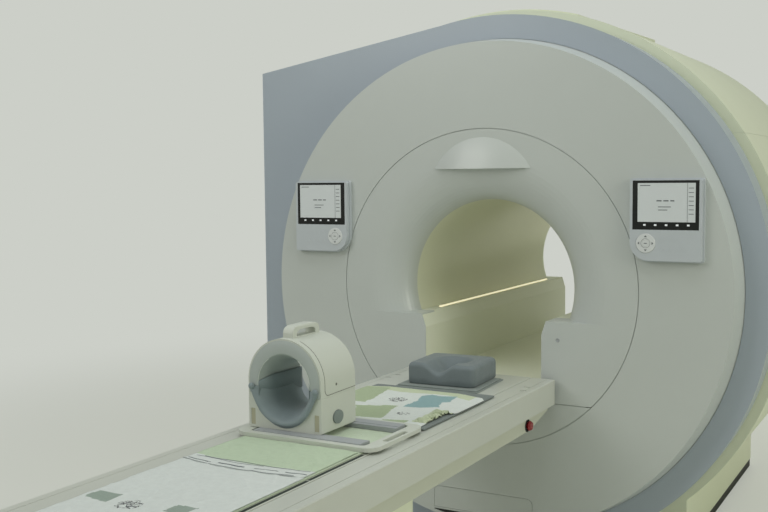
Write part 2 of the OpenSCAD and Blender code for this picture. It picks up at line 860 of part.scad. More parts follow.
module plinth() {
  edge_x = foot_x - cover_t + 2;
  color(dark_colour) difference() {
    block([-edge_x, plinth_y0, 0], [edge_x, plinth_y1, plinth_h]);
    block([-edge_x + plinth_t, plinth_y0 + plinth_t, -1],
      [edge_x - plinth_t, plinth_y1 - plinth_t, plinth_h + 1]);
  }
}

module bore_liner() {
  color(cover_colour) intersection() {
    turned([[bore_r, front_y + mouth_l], [bore_r + liner_t, front_y + mouth_l],
      [bore_r + liner_t, rear_bell_y], [bore_r, rear_bell_y]]);
    above(ledge_z);
  }
}

module table_bridge() {
  color(cover_colour) {
    along_y(front_y + cover_t, rear_y - cover_t) difference() {
      intersection() {
        trough_2d(bridge_t, 1);
        translate([-far, 0]) square([2 * far, ledge_z - ledge_t]);
      }
      trough_2d(0, 1);
    }
    along_y(front_y + mouth_l, rear_bell_y) difference() {
      translate([-bore_r - liner_t, ledge_z - ledge_t]) square([2 * (bore_r + liner_t), ledge_t]);
      translate([-trough_top_x, 0]) square([2 * trough_top_x, far]);
    }
    along_y(front_y + mouth_l, rear_bell_y) difference() {
      intersection() {
        trough_2d(bridge_t, 1);
        translate([-far, ledge_z - ledge_t - 1]) square([2 * far, ledge_t]);
      }
      trough_2d(0, 1);
    }
  }
}

module light_strips() {
  color([1, 1, 0.96]) for (s = [-1, 1]) along_y(front_y + light_y, front_y + light_y + light_l)
    translate([s * light_x, ledge_z]) polygon([[-light_w / 2, 0], [light_w / 2, 0],
      [light_w / 2 - 1.5, light_h], [-light_w / 2 + 1.5, light_h]]);
}

module vessel_body(t) {
  c = vessel_chamfer;
  r = vessel_r - t;
  y = vessel_y + t;
  inner = vessel_bore_r + t;
  turned([[inner, y], [r - c, y], [r, y + c], [r, -y - c], [r - c, -y], [inner, -y]]);
}
module magnet_vessel() {
  color(metal_colour) difference() {
    vessel_body(0);
    vessel_body(vessel_t);
    translate([0, cold_head_y, bore_h + cold_mass_r])
      cylinder(r = cold_stem_r + cold_stem_clear, h = far, $fn = 64);
  }
}

module cold_mass() {
  color(metal_colour) turned([[cold_mass_bore_r, -cold_mass_l / 2], [cold_mass_r, -cold_mass_l / 2],
    [cold_mass_r, cold_mass_l / 2], [cold_mass_bore_r, cold_mass_l / 2]]);
}

module gradient_coil() {
  r = vessel_bore_r - slide_clear;
  color([0.75, 0.70, 0.55]) turned([[gradient_r, -gradient_l / 2], [r, -gradient_l / 2],
    [r, gradient_l / 2], [gradient_r, gradient_l / 2]]);
}

module body_coil() {
  half = body_coil_l / 2;
  ring = rung_w;
  outer = body_coil_r + body_coil_t;
  top = gradient_r - slide_clear;
  color([0.72, 0.45, 0.25]) {
    turned([[body_coil_r, -half - ring], [outer, -half - ring], [outer, -half], [top, -half],
      [top, -half + ring], [outer, -half + ring], [outer, half - ring], [top, half - ring],
      [top, half], [outer, half], [outer, half + ring], [body_coil_r, half + ring]]);
    for (i = [0:rungs - 1]) translate([0, 0, bore_h]) rotate([0, (i + 0.5) * 360 / rungs, 0])
      block([-rung_w / 2, -half + ring / 2, outer - 3], [rung_w / 2, half - ring / 2, top - 2]);
  }
}

// Space that the vessel takes, with its clearance
module vessel_room() {
  r = vessel_r + slide_clear;
  turned([[0, -vessel_l], [r, -vessel_l], [r, vessel_l], [0, vessel_l]]);
}

module cold_head() {
  stem_z = bore_h + cold_mass_r + slide_clear;
  color(metal_colour) {
    difference() {
      translate([0, cold_head_y, bore_h + vessel_r - 30]) cylinder(r = cold_head_r, h = 60, $fn = 64);
      vessel_room();
    }
    translate([0, cold_head_y, bore_h + vessel_r + 25])
      cylinder(r = cold_motor_r, h = cold_head_z - vessel_r - 25, $fn = 64);
    translate([0, cold_head_y, stem_z])
      cylinder(r = cold_stem_r, h = bore_h + vessel_r + 20 - stem_z, $fn = 64);
  }
}

module magnet_feet() {
  half = magnet_foot_w / 2;
  color(metal_colour) for (sx = [-1, 1], sy = [-1, 1]) translate([sx * magnet_foot_x, sy * magnet_foot_y, 0])
    difference() {
      union() {
        block([-half, -half, 0], [half, half, bore_h - vessel_r / 2]);
        block([-half, -foot_flange_l / 2, 0], [half, foot_flange_l / 2, foot_flange_t]);
      }
      translate([-sx * magnet_foot_x, -sy * magnet_foot_y, 0]) vessel_room();
      for (s = [-1, 1]) translate([0, s * anchor_pitch / 2, -1])
        cylinder(d = anchor_d, h = foot_flange_t + 2, $fn = 32);
    }
}

// A control panel is drawn for the right side, its x measured from its inner edge
module panel_place(s) {
  if (s > 0) translate([panel_x, front_y, bore_h + panel_z]) children();
  else mirror([1, 0, 0]) translate([panel_x, front_y, bore_h + panel_z]) children();
}
module panel_outline(t) {
  small = panel_small_r - t / 2;
  polygon(rounded(t, t, panel_w - t, panel_h - t, [panel_corner_r - t, small, small, small]));
}
module screen_outline(t) {
  x0 = (panel_w - screen_w) / 2;
  z1 = panel_h - screen_top;
  translate([x0 + t, z1 - screen_h + t]) square([screen_w - 2 * t, screen_h - 2 * t]);
}
module button_bore(r, depth) {
  translate([pad_x, -panel_d + depth, pad_z]) rotate([90, 0, 0]) cylinder(r = r, h = depth + 10);
}
module panel_housing() {
  color(cover_colour) {
    difference() {
      union() {
        along_y(-panel_base_d, 0) panel_outline(0);
        along_y(-panel_d, -panel_base_d + 1) panel_outline(panel_inset);
      }
      along_y(-panel_d - 1, -panel_d + screen_t) screen_outline(0);
      button_bore(pad_r, 6);
    }
    for (i = [0:2]) small_key(0.46 * panel_w + i * key_pitch, pad_z + 0.16 * panel_w / 3);
    for (i = [0, 1, 2.3, 3.3]) small_key(0.46 * panel_w + i * key_pitch, pad_z - 0.24 * panel_w / 3);
  }
}
module small_key(x, z) {
  translate([x, -panel_d + 0.5, z]) rotate([90, 0, 0]) cylinder(r = key_r, h = key_h + 0.5, $fn = 24);
}
module panel_screen() {
  color(dark_colour) along_y(-panel_d, -panel_d + screen_t) screen_outline(0.2);
}
module panel_pad() {
  color(cover_colour) translate([pad_x, -panel_d - pad_proud, pad_z]) rotate([-90, 0, 0]) difference() {
    union() {
      cylinder(r1 = pad_r - button_clear - 2, r2 = pad_r - button_clear, h = 2);
      translate([0, 0, 2])
        cylinder(r = pad_r - button_clear, h = pad_proud + 6 - pad_travel - slide_clear - 2);
    }
    translate([0, 0, -1]) cylinder(r = centre_r + button_clear, h = 20, $fn = 48);
  }
}
module panel_centre() {
  color(cover_colour) translate([pad_x, -panel_d - pad_proud - 0.5, pad_z]) rotate([-90, 0, 0])
    cylinder(r = centre_r, h = pad_proud + 0.5 + 6 - pad_travel - slide_clear, $fn = 48);
}
module panel_housings() { for (s = [-1, 1]) panel_place(s) panel_housing(); }
module panel_screens() { for (s = [-1, 1]) panel_place(s) panel_screen(); }
module panel_left_pad() { panel_place(-1) panel_pad(); }
module panel_left_centre() { panel_place(-1) panel_centre(); }
module panel_right_pad() { panel_place(1) panel_pad(); }
module panel_right_centre() { panel_place(1) panel_centre(); }

module pedestal_2d(t) {
  polygon(rounded(-pedestal_x + t, pedestal_back_y + t, pedestal_x - t, pedestal_front_y - t,
    [for (i = [0:3]) pedestal_r - t / 2]));
}

module table_base() {
  color(metal_colour) difference() {
    along_z(0, base_t) pedestal_2d(lower_inset - base_rim);
    for (sx = [-1, 1], sy = [-1, 1]) translate([sx * (pedestal_x - lower_inset + base_rim / 2),
      column_mid_y + sy * column_pitch / 2, -1]) cylinder(d = anchor_d * 0.7, h = base_t + 2, $fn = 32);
  }
}

module column_2d(w) { translate([-w / 2, -w / 2]) square(w); }
module columns_at() { for (s = [-1, 1]) translate([0, column_mid_y + s * column_pitch / 2, 0]) children(); }
module lift_column_outer() {
  color(metal_colour) columns_at() along_z(base_t, column_top) difference() {
    column_2d(column_w);
    column_2d(column_w - 2 * column_t);
  }
}
module lift_column_inner() {
  w = column_w - 2 * column_t - 2 * column_clear;
  color(metal_colour) columns_at() along_z(column_low, frame_z - frame_t) difference() {
    column_2d(w);
    column_2d(w - 2 * column_t);
  }
}

module pedestal_lower_cover() {
  color(body_colour) along_z(base_t, lower_top) difference() {
    pedestal_2d(lower_inset);
    pedestal_2d(lower_inset + cover_t);
  }
}
module pedestal_upper_cover() {
  color(body_colour) along_z(upper_low, skirt_low) difference() {
    pedestal_2d(0);
    pedestal_2d(cover_t);
  }
}

module table_frame() {
  x = skirt_x - cover_t - slide_clear;
  y0 = foot_y + frame_end;
  y1 = head_y - frame_end;
  color(metal_colour) {
    difference() {
      block([-x, y0, frame_z - frame_t], [x, y1, frame_z]);
      for (y = [pulley_head_y, pulley_foot_y])
        block([-belt_w, y - pulley_r - 20, frame_z - frame_t - 1], [belt_w, y + pulley_r + 20, frame_z + 1]);
    }
    for (s = [-1, 1]) block([s * guide_x - guide_w / 2, y0, frame_z - 1],
      [s * guide_x + guide_w / 2, y1, cradle_low - slide_clear]);
    for (y = [pulley_head_y, pulley_foot_y], s = [-1, 1]) difference() {
      translate([s * (belt_w / 2 + 12), y, 0]) block([-5, -22, frame_z - 1], [5, 22, pulley_z + 18]);
      translate([-far, y, pulley_z]) rotate([0, 90, 0])
        cylinder(r = shaft_r + slide_clear, h = 2 * far, $fn = 48);
    }
    for (s = [-1, 1]) block([s * (inner_x + rail_t / 2) - 12, y0, frame_z - 1],
      [s * (inner_x + rail_t / 2) + 12, y1, cradle_low - rail_t]);
  }
}

// Section of the right side rail
module side_rail_2d() {
  difference() {
    union() {
      translate([inner_x, table_h - rail_t]) square([table_x - inner_x, rail_t]);
      translate([inner_x, cradle_low - rail_t]) square([rail_t, table_h - cradle_low + rail_t]);
      translate([table_x - rail_t, rail_low]) square([rail_t, rail_h]);
      translate([skirt_x - 6, rail_low]) square([table_x - skirt_x + 6, rail_t]);
    }
    translate([table_x - rim_groove, table_h - rim_groove_w]) square([rim_groove_w, rim_groove_w + 1]);
    translate([table_x, table_h]) rotate(45) square(4, center = true);
  }
}
module side_rail() {
  color(cover_colour) difference() {
    along_y(foot_y + rail_t, head_y - rail_t) side_rail_2d();
    for (i = [0, 1])
      translate([table_x - rim_groove - 14 + i * 10, head_y - socket_y - i * socket_pitch, table_h])
        cube([socket_w, 8, 4 * rail_t], center = true);
  }
}
module side_rails() {
  side_rail();
  mirror([1, 0, 0]) side_rail();
}

module head_cap() {
  along_y(head_y - rail_t, head_y) difference() {
    polygon(rounded(-table_x, rail_low, table_x, table_h, [1, 1, 3, 3]));
    translate([-inner_x, cradle_low - 3]) square([2 * inner_x, far]);
  }
}
module end_caps() {
  color(cover_colour) {
    head_cap();
    along_y(foot_y, foot_y + rail_t) polygon(rounded(-table_x, rail_low, table_x, table_h, [1, 1, 3, 3]));
  }
}

// Side view of the skirt, inset by t and open above by top
module skirt_side_2d(t, top = 0) {
  nose_y = head_y - skirt_end - t;
  end_y = foot_y + skirt_end + t;
  nose_z = rail_low - skirt_nose_h + t;
  polygon([[nose_y, rail_low + top], [nose_y, nose_z], [nose_y - skirt_nose_l, skirt_low + t],
    [end_y + skirt_nose_l, skirt_low + t], [end_y, nose_z], [end_y, rail_low + top]]);
}
module table_skirt() {
  color(body_colour) difference() {
    along_x(-skirt_x, skirt_x) skirt_side_2d(0);
    along_x(-skirt_x + cover_t, skirt_x - cover_t) skirt_side_2d(cover_t, 1);
    along_z(0, rail_low) pedestal_2d(cover_t);
    for (s = [-1, 1]) translate([s * skirt_x, head_y - estop_y, table_h - estop_drop]) rotate([0, 90, 0])
      cylinder(r = estop_stem_r + button_clear, h = 4 * cover_t, center = true, $fn = 48);
  }
}

module estop() {
  head_t = 12;
  color([0.75, 0.08, 0.07]) translate([skirt_x + estop_travel + 1, head_y - estop_y, table_h - estop_drop])
    rotate([0, 90, 0]) {
      cylinder(r1 = estop_r - 2, r2 = estop_r, h = 4, $fn = 64);
      translate([0, 0, 4]) cylinder(r1 = estop_r, r2 = estop_r - 5, h = head_t - 4, $fn = 64);
      translate([0, 0, -estop_travel - 1 - cover_t - 6])
        cylinder(r = estop_stem_r, h = estop_travel + cover_t + 8, $fn = 48);
    }
}
module estop_left() { mirror([1, 0, 0]) estop(); }
module estop_right() { estop(); }

module drive_belt() {
  r = pulley_r + slide_clear;
  color(dark_colour) difference() {
    union() {
      block([-belt_w / 2, pulley_foot_y, pulley_z + r], [belt_w / 2, pulley_head_y, pulley_z + r + belt_t]);
      block([-belt_w / 2, pulley_foot_y, pulley_z - r - belt_t], [belt_w / 2, pulley_head_y, pulley_z - r]);
      for (y = [pulley_head_y, pulley_foot_y]) translate([-belt_w / 2, y, pulley_z]) rotate([0, 90, 0])
        cylinder(r = r + belt_t, h = belt_w);
    }
    for (y = [pulley_head_y, pulley_foot_y]) translate([-belt_w, y, pulley_z]) rotate([0, 90, 0])
      cylinder(r = r, h = 2 * belt_w);
    block([-belt_w, pulley_foot_y, pulley_z - r], [belt_w, pulley_head_y, pulley_z + r]);
  }
}
module pulley(y) {
  color(metal_colour) translate([0, y, pulley_z]) rotate([0, 90, 0]) {
    translate([0, 0, -belt_w / 2 - 2]) cylinder(r = pulley_r, h = belt_w + 4);
    translate([0, 0, -belt_w / 2 - 16]) cylinder(r = shaft_r, h = belt_w + 32, $fn = 48);
  }
}
module pulley_head() { pulley(pulley_head_y); }
module pulley_foot() { pulley(pulley_foot_y); }

module strip_slots(t) {
  for (s = [-1, 1]) {
    x = s * (cradle_x - strip_edge - strip_w / 2);
    w = strip_w / 2 - t;
    y1 = cradle_head_y - strip_y;
    block([x - w, y1 - strip_l + t, cradle_top - strip_t], [x + w, y1 - t, cradle_top + (t > 0 ? 0 : 1)]);
    block([x - w, cradle_foot_y + 20 + t, cradle_top - strip_t],
      [x + w, y1 - strip_l - 4 - t, cradle_top + (t > 0 ? 0 : 1)]);
  }
}
module cradle() {
  color(cover_colour) difference() {
    along_y(cradle_foot_y, cradle_head_y) polygon(both_sides([[cradle_low_x, cradle_low],
      [cradle_x, cradle_top - 14], [cradle_x, cradle_top - 2], [cradle_x - 2, cradle_top]]));
    strip_slots(0);
  }
}
module belt_clamp() {
  color(metal_colour) block([-belt_w / 2, cradle_foot_y + 10, belt_top + slide_clear],
    [belt_w / 2, cradle_foot_y + 10 + clamp_l, cradle_low]);
}
module cradle_strips() { color(grey_colour) strip_slots(0.2); }

module mattress() {
  color([0.72, 0.80, 0.70])
    block([-mattress_x, mattress_foot_y, mattress_z], [mattress_x, tray_back_y, mattress_top]);
}
module front_sheet() {
  color([0.84, 0.86, 0.84]) block([-mattress_x, mattress_foot_y + sheet_end, sheet_z],
    [mattress_x, towel_y - soft_clear, sheet_z + sheet_t]);
}
module towel() {
  color([0.76, 0.84, 0.70]) block([-mattress_x + 1, towel_y, sheet_z],
    [mattress_x - 1, towel_y + towel_l, sheet_z + sheet_t]);
}

// The draw sheet's right edge is drawn in by its elastic, with a gather beside the other
module draw_sheet() {
  y0 = tray_back_y + sheet_gap;
  y1 = y0 + sheet_l;
  edge = sheet_x - sheet_tuck;
  first_y = y0 + gather_y - (gathers - 1) / 2 * gather_pitch;
  last_y = first_y + (gathers - 1) * gather_pitch;
  color([0.78, 0.86, 0.78]) {
    along_z(sheet_z, sheet_z + sheet_t) polygon([[-sheet_x, y0], [edge, y0], [edge, last_y + 10],
      [sheet_x, last_y + 2 * sheet_tuck], [sheet_x, y1 - 62], [sheet_x - 20, y1 - 32], [sheet_x / 2, y1],
      [-sheet_x * 0.66, y1], [-sheet_x, y1 - 26]]);
    for (i = [0:gathers - 1])
      translate([edge - gather_l, first_y + i * gather_pitch, sheet_z + gather_r])
        rotate([0, 90, 0]) cylinder(r = gather_r, h = gather_l, $fn = 24);
  }
}

module mat_lower() {
  color(foam_colour) along_z(mattress_z, mattress_top)
    polygon(rounded(-mat_low_x, mat_low_y, mat_low_x, mat_low_y + mat_low_l, [for (i = [0:3]) 8]));
}
module mat_upper() {
  color(foam_colour) translate([-mat_x, mat_top_y, mattress_z]) rotate([0, 0, cushion_turn]) {
    block([-mat_top_w / 2, -mat_top_l / 2, 0], [mat_top_w / 2, mat_top_l / 2, mat_t]);
    block([-mat_top_w / 2 + mat_step, -mat_top_l / 2 + mat_step, mat_t - 0.5],
      [mat_top_w / 2 - mat_step, mat_top_l / 2 - mat_step, 2 * mat_t]);
  }
}
module head_cushion() {
  half = cushion_w / 2;
  edge_r = 18;
  hollow = [for (i = [0:12]) let (u = -1 + i / 6)
    [u * half * 0.62, cushion_h - cushion_hollow * (0.5 + 0.5 * cos(180 * u))]];
  color(foam_colour) translate([-mat_x, mat_top_y, cushion_z]) rotate([0, 0, cushion_turn])
    along_y(cushion_shift - cushion_l / 2, cushion_shift + cushion_l / 2) polygon(concat(
      [[-half, 3], [-half + 3, 0], [half - 3, 0], [half, 3]],
      arc([half - edge_r, cushion_h - edge_r], edge_r, 0, 90), backwards(hollow),
      arc([-half + edge_r, cushion_h - edge_r], edge_r, 90, 180)));
}

module coil_tray() {
  y0 = tray_front_y;
  y1 = tray_back_y;
  mid = (y0 + y1) / 2;
  slot_x = tray_x - tray_side / 2 + 4;
  color(cover_colour) along_z(tray_z, tray_z + tray_t) difference() {
    polygon(rounded(-tray_x, y0, tray_x, y1, [for (i = [0:3]) tray_r]));
    polygon(rounded(-tray_x + tray_side, y0 + tray_bar, tray_x - tray_side, y1 - tray_bar,
      [for (i = [0:3]) tray_inner_r]));
    for (s = [-1, 1]) polygon(rounded(s * slot_x - tray_slot_w / 2, mid - tray_slot_l / 2,
      s * slot_x + tray_slot_w / 2, mid + tray_slot_l / 2, [for (i = [0:3]) tray_slot_w / 2 - 1]));
  }
}

// The rails lie inside the tray's front and rear bars and carry the coil on a step
module coil_rails() {
  x = tray_x - tray_side - tray_inner_r;
  top = tray_z + tray_t + coil_rail_proud;
  front = tray_front_y + tray_bar + slide_clear;
  back = tray_back_y - tray_bar - slide_clear;
  color(grey_colour) {
    along_x(-x, x) polygon([[front, tray_z], [coil_front_y + coil_step, tray_z],
      [coil_front_y + coil_step, coil_z - slide_clear], [coil_front_y - slide_clear, coil_z - slide_clear],
      [coil_front_y - slide_clear, top], [front, top]]);
    along_x(-x, x) polygon([[back, tray_z], [coil_back_y - coil_step, tray_z],
      [coil_back_y - coil_step, coil_z - slide_clear], [coil_back_y + slide_clear, coil_z - slide_clear],
      [coil_back_y + slide_clear, top], [back, top]]);
  }
}

module coil_tunnel(r, y0, y1) {
  translate([coil_axis_x, y0, coil_split_z]) rotate([-90, 0, 0]) cylinder(r = r, h = y1 - y0);
}
function ellipse(w, h) = [for (i = [0:31]) let (a = i * 360 / 32) [w / 2 * cos(a), h / 2 * sin(a)]];
module release_2d(t) {
  translate([(coil_front_y + coil_back_y) / 2 - 8, coil_z + release_z])
    polygon(ellipse(release_w - 2 * t, release_h - 2 * t));
}
module coil_lower_shell() {
  half = coil_w / 2;
  side = coil_axis_x + half;
  color(cover_colour) difference() {
    translate([coil_axis_x, 0, 0]) along_y(coil_front_y, coil_back_y)
      polygon(rounded(-half, coil_z, half, coil_split_z - slide_clear, [6, 6, 1, 1]));
    coil_tunnel(coil_cavity_r, coil_front_y - 1, coil_back_y + 1);
    along_x(side - 12, side + 1) release_2d(0);
    for (s = [-1, 1]) translate([coil_axis_x + s * (half - recess_edge - recess_w / 2), coil_front_y, coil_z])
      block([-recess_w / 2, -1, recess_edge], [recess_w / 2, recess_t, recess_edge + recess_h]);
  }
}
module coil_release_button() {
  side = coil_axis_x + coil_w / 2;
  color(grey_colour) along_x(side - 12 + release_travel + slide_clear, side + release_travel + 1)
    release_2d(button_clear);
}
module coil_lower_pad() {
  y0 = coil_front_y - slide_clear;
  outer = coil_cavity_r - slide_clear;
  color(foam_colour) intersection() {
    translate([coil_axis_x, 0, coil_split_z]) rotate([-90, 0, 0]) rotate_extrude() polygon([
      [coil_mouth_r, y0 - coil_flange_t], [coil_flange_r - 3, y0 - coil_flange_t],
      [coil_flange_r, y0 - coil_flange_t + 3], [coil_flange_r, y0], [outer, y0], [outer, coil_back_y],
      [coil_throat_r + 6, coil_back_y], [coil_throat_r, coil_back_y - 8], [coil_throat_r, y0 + 70],
      [coil_throat_r + 5, y0 + 40], [coil_throat_r + 14, y0 + 12]]);
    below(coil_split_z - slide_clear);
  }
}

// Arch of the coil's upper half, with its round top on radius r and straight sides
module arch_2d(r, z) {
  intersection() {
    union() {
      translate([0, z]) circle(r = r);
      translate([-r + 0.02, 0]) square([2 * r - 0.04, z]);
    }
    translate([-far, coil_split_z]) square([2 * far, far]);
  }
}
// Arch of the handle over half its length, from its foot at height z up by rise
function handle_arch(half, z, rise) = [for (i = [0:16]) let (a = i * 180 / 16)
  [sign(cos(a)) * half * sqrt(abs(cos(a))), z + rise * sqrt(sin(a))]];
module coil_handle() {
  mid = (coil_front_y + coil_back_y) / 2;
  rise = handle_gap + handle_t;
  translate([0, mid, coil_top_z]) intersection() {
    along_x(-handle_w / 2, handle_w / 2) difference() {
      polygon(handle_arch(handle_l / 2, -3, rise + 3));
      polygon(handle_arch(handle_l / 2 - 1.6 * handle_t, 2, handle_gap - 2));
    }
    along_y(-handle_l, handle_l) polygon(rounded(-handle_w / 2, -10, handle_w / 2, rise, [1, 1, 8, 8]));
  }
}
module coil_upper_shell() {
  outer = coil_w / 2;
  color(cover_colour) translate([coil_axis_x, 0, 0]) {
    along_y(coil_front_y, coil_back_y) difference() {
      arch_2d(outer, coil_dome_z);
      arch_2d(outer - coil_shell_t, coil_dome_z);
    }
    coil_handle();
  }
}
module coil_upper_liner() {
  r = coil_w / 2 - coil_shell_t - slide_clear;
  color(grey_colour) translate([coil_axis_x, 0, 0])
    along_y(coil_front_y + coil_rim, coil_back_y - coil_rim) difference() {
      arch_2d(r, coil_dome_z);
      arch_2d(coil_arch_r, coil_split_z + coil_arch_z);
    }
}

front_cover();
funnel_cover();
lower_front_cover();
access_panel();
kick_plate();
surround_panel();
side_cover_left();
side_cover_right();
top_cover();
top_housing();
rear_cover();
rear_funnel();
plinth();
mouth_plate();
bore_liner();
table_bridge();
light_strips();
magnet_vessel();
cold_mass();
gradient_coil();
body_coil();
cold_head();
magnet_feet();
panel_housings();
panel_screens();
panel_left_pad();
panel_left_centre();
panel_right_pad();
panel_right_centre();
table_base();
lift_column_outer();
pedestal_lower_cover();
lift_column_inner();
pedestal_upper_cover();
table_frame();
side_rails();
end_caps();
table_skirt();
estop_left();
estop_right();
drive_belt();
pulley_head();
pulley_foot();
cradle();
belt_clamp();
cradle_strips();
mattress();
front_sheet();
towel();
draw_sheet();
mat_lower();
mat_upper();
head_cushion();
coil_tray();
coil_rails();
coil_lower_shell();
coil_lower_pad();
coil_upper_shell();
coil_upper_liner();
coil_release_button();
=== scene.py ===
"""Looks of the scanner: finishes, screens, foam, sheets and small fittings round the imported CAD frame."""

import json
import logging
import math
from collections.abc import Callable, Iterable, Sequence
from dataclasses import dataclass, field
from enum import Enum

import bpy
from mathutils import Matrix, Vector, noise

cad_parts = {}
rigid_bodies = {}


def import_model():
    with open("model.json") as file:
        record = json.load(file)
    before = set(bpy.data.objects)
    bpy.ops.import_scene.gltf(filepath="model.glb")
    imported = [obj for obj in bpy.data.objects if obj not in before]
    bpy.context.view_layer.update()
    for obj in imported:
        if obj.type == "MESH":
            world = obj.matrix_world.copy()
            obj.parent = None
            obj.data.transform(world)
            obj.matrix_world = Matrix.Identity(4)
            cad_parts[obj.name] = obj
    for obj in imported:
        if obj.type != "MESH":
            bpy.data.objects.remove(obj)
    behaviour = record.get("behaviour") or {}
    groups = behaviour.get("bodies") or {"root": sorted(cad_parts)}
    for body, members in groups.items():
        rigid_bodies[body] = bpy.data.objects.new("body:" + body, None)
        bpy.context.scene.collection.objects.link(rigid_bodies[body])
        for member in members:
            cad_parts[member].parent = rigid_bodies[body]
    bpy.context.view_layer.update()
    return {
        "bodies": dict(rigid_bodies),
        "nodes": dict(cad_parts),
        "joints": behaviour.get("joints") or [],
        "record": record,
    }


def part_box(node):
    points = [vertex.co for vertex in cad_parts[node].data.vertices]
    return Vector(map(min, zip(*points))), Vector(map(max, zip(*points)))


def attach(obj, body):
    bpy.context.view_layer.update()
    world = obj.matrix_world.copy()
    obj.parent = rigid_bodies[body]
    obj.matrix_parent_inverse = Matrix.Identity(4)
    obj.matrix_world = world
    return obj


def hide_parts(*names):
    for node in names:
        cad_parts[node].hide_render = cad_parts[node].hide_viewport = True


LOG = logging.getLogger("scanner")
Point = tuple[float, float, float]
Colour = tuple[float, float, float]
Pair = tuple[float, float]
Station = tuple[float, float, float, float]
Mesh = tuple[list[Point], list[list[int]]]
Print = tuple[bpy.types.Material, Callable[[float, float], bool]]


class Side(Enum):
    """The two sides of the gantry, seen by someone who faces the bore."""

    LEFT = -1
    RIGHT = 1


class Finish(Enum):
    """The surface families that a CAD node can be dressed in."""

    COVER = "cover"
    SURROUND = "surround"
    BODY = "body"
    RAIL = "rail"
    SKIRT = "skirt"
    DARK = "dark"
    STRIP = "strip"
    SLATE = "slate"
    STEEL = "steel"
    ALUMINIUM = "aluminium"
    RESIN = "resin"
    COPPER = "copper"
    PANEL = "panel"
    BUTTON = "button"
    GLASS = "glass"
    PAINT = "paint"
    RED = "red"
    BELT = "belt"
    GREY = "grey"
    COIL = "coil"
    LIGHT = "light"
    BORE = "bore"
    BRIDGE = "bridge"


def srgb(red: float, green: float, blue: float) -> Colour:
    """Turn a screen colour into the linear one that the shaders use.

    Args:
        red: Red from 0 to 255.
        green: Green from 0 to 255.
        blue: Blue from 0 to 255.

    Returns:
        The linear colour.
    """

    def one(value: float) -> float:
        """Turn one channel into its linear value."""
        share = value / 255
        return share / 12.92 if share <= 0.04045 else ((share + 0.055) / 1.055) ** 2.4

    return one(red), one(green), one(blue)


def shaded(colour: Colour, share: float) -> Colour:
    """Darken or lighten a colour by one factor.

    Args:
        colour: The linear colour.
        share: The factor, below 1 for darker.

    Returns:
        The changed colour.
    """
    return tuple(min(1.0, c * share) for c in colour)


def unit(value: float) -> float:
    """Keep a number from 0 to 1."""
    return min(1.0, max(0.0, value))


def eased(share: float) -> float:
    """Ease a share at both of its ends."""
    return share * share * (3 - 2 * share)


def hump(share: float) -> float:
    """Give a smooth fall from 1 to 0 as a share goes from 0 to 1."""
    return 0.5 + 0.5 * math.cos(math.pi * share)


def polar(radius: float, degrees: float) -> Pair:
    """Give the two coordinates of a point on a circle about the origin."""
    return radius * math.cos(math.radians(degrees)), radius * math.sin(math.radians(degrees))


def stood(spot: Point, axis: str, degrees: float) -> Matrix:
    """Give the matrix that turns about an axis and then moves to a spot."""
    return Matrix.Translation(spot) @ Matrix.Rotation(math.radians(degrees), 4, axis)


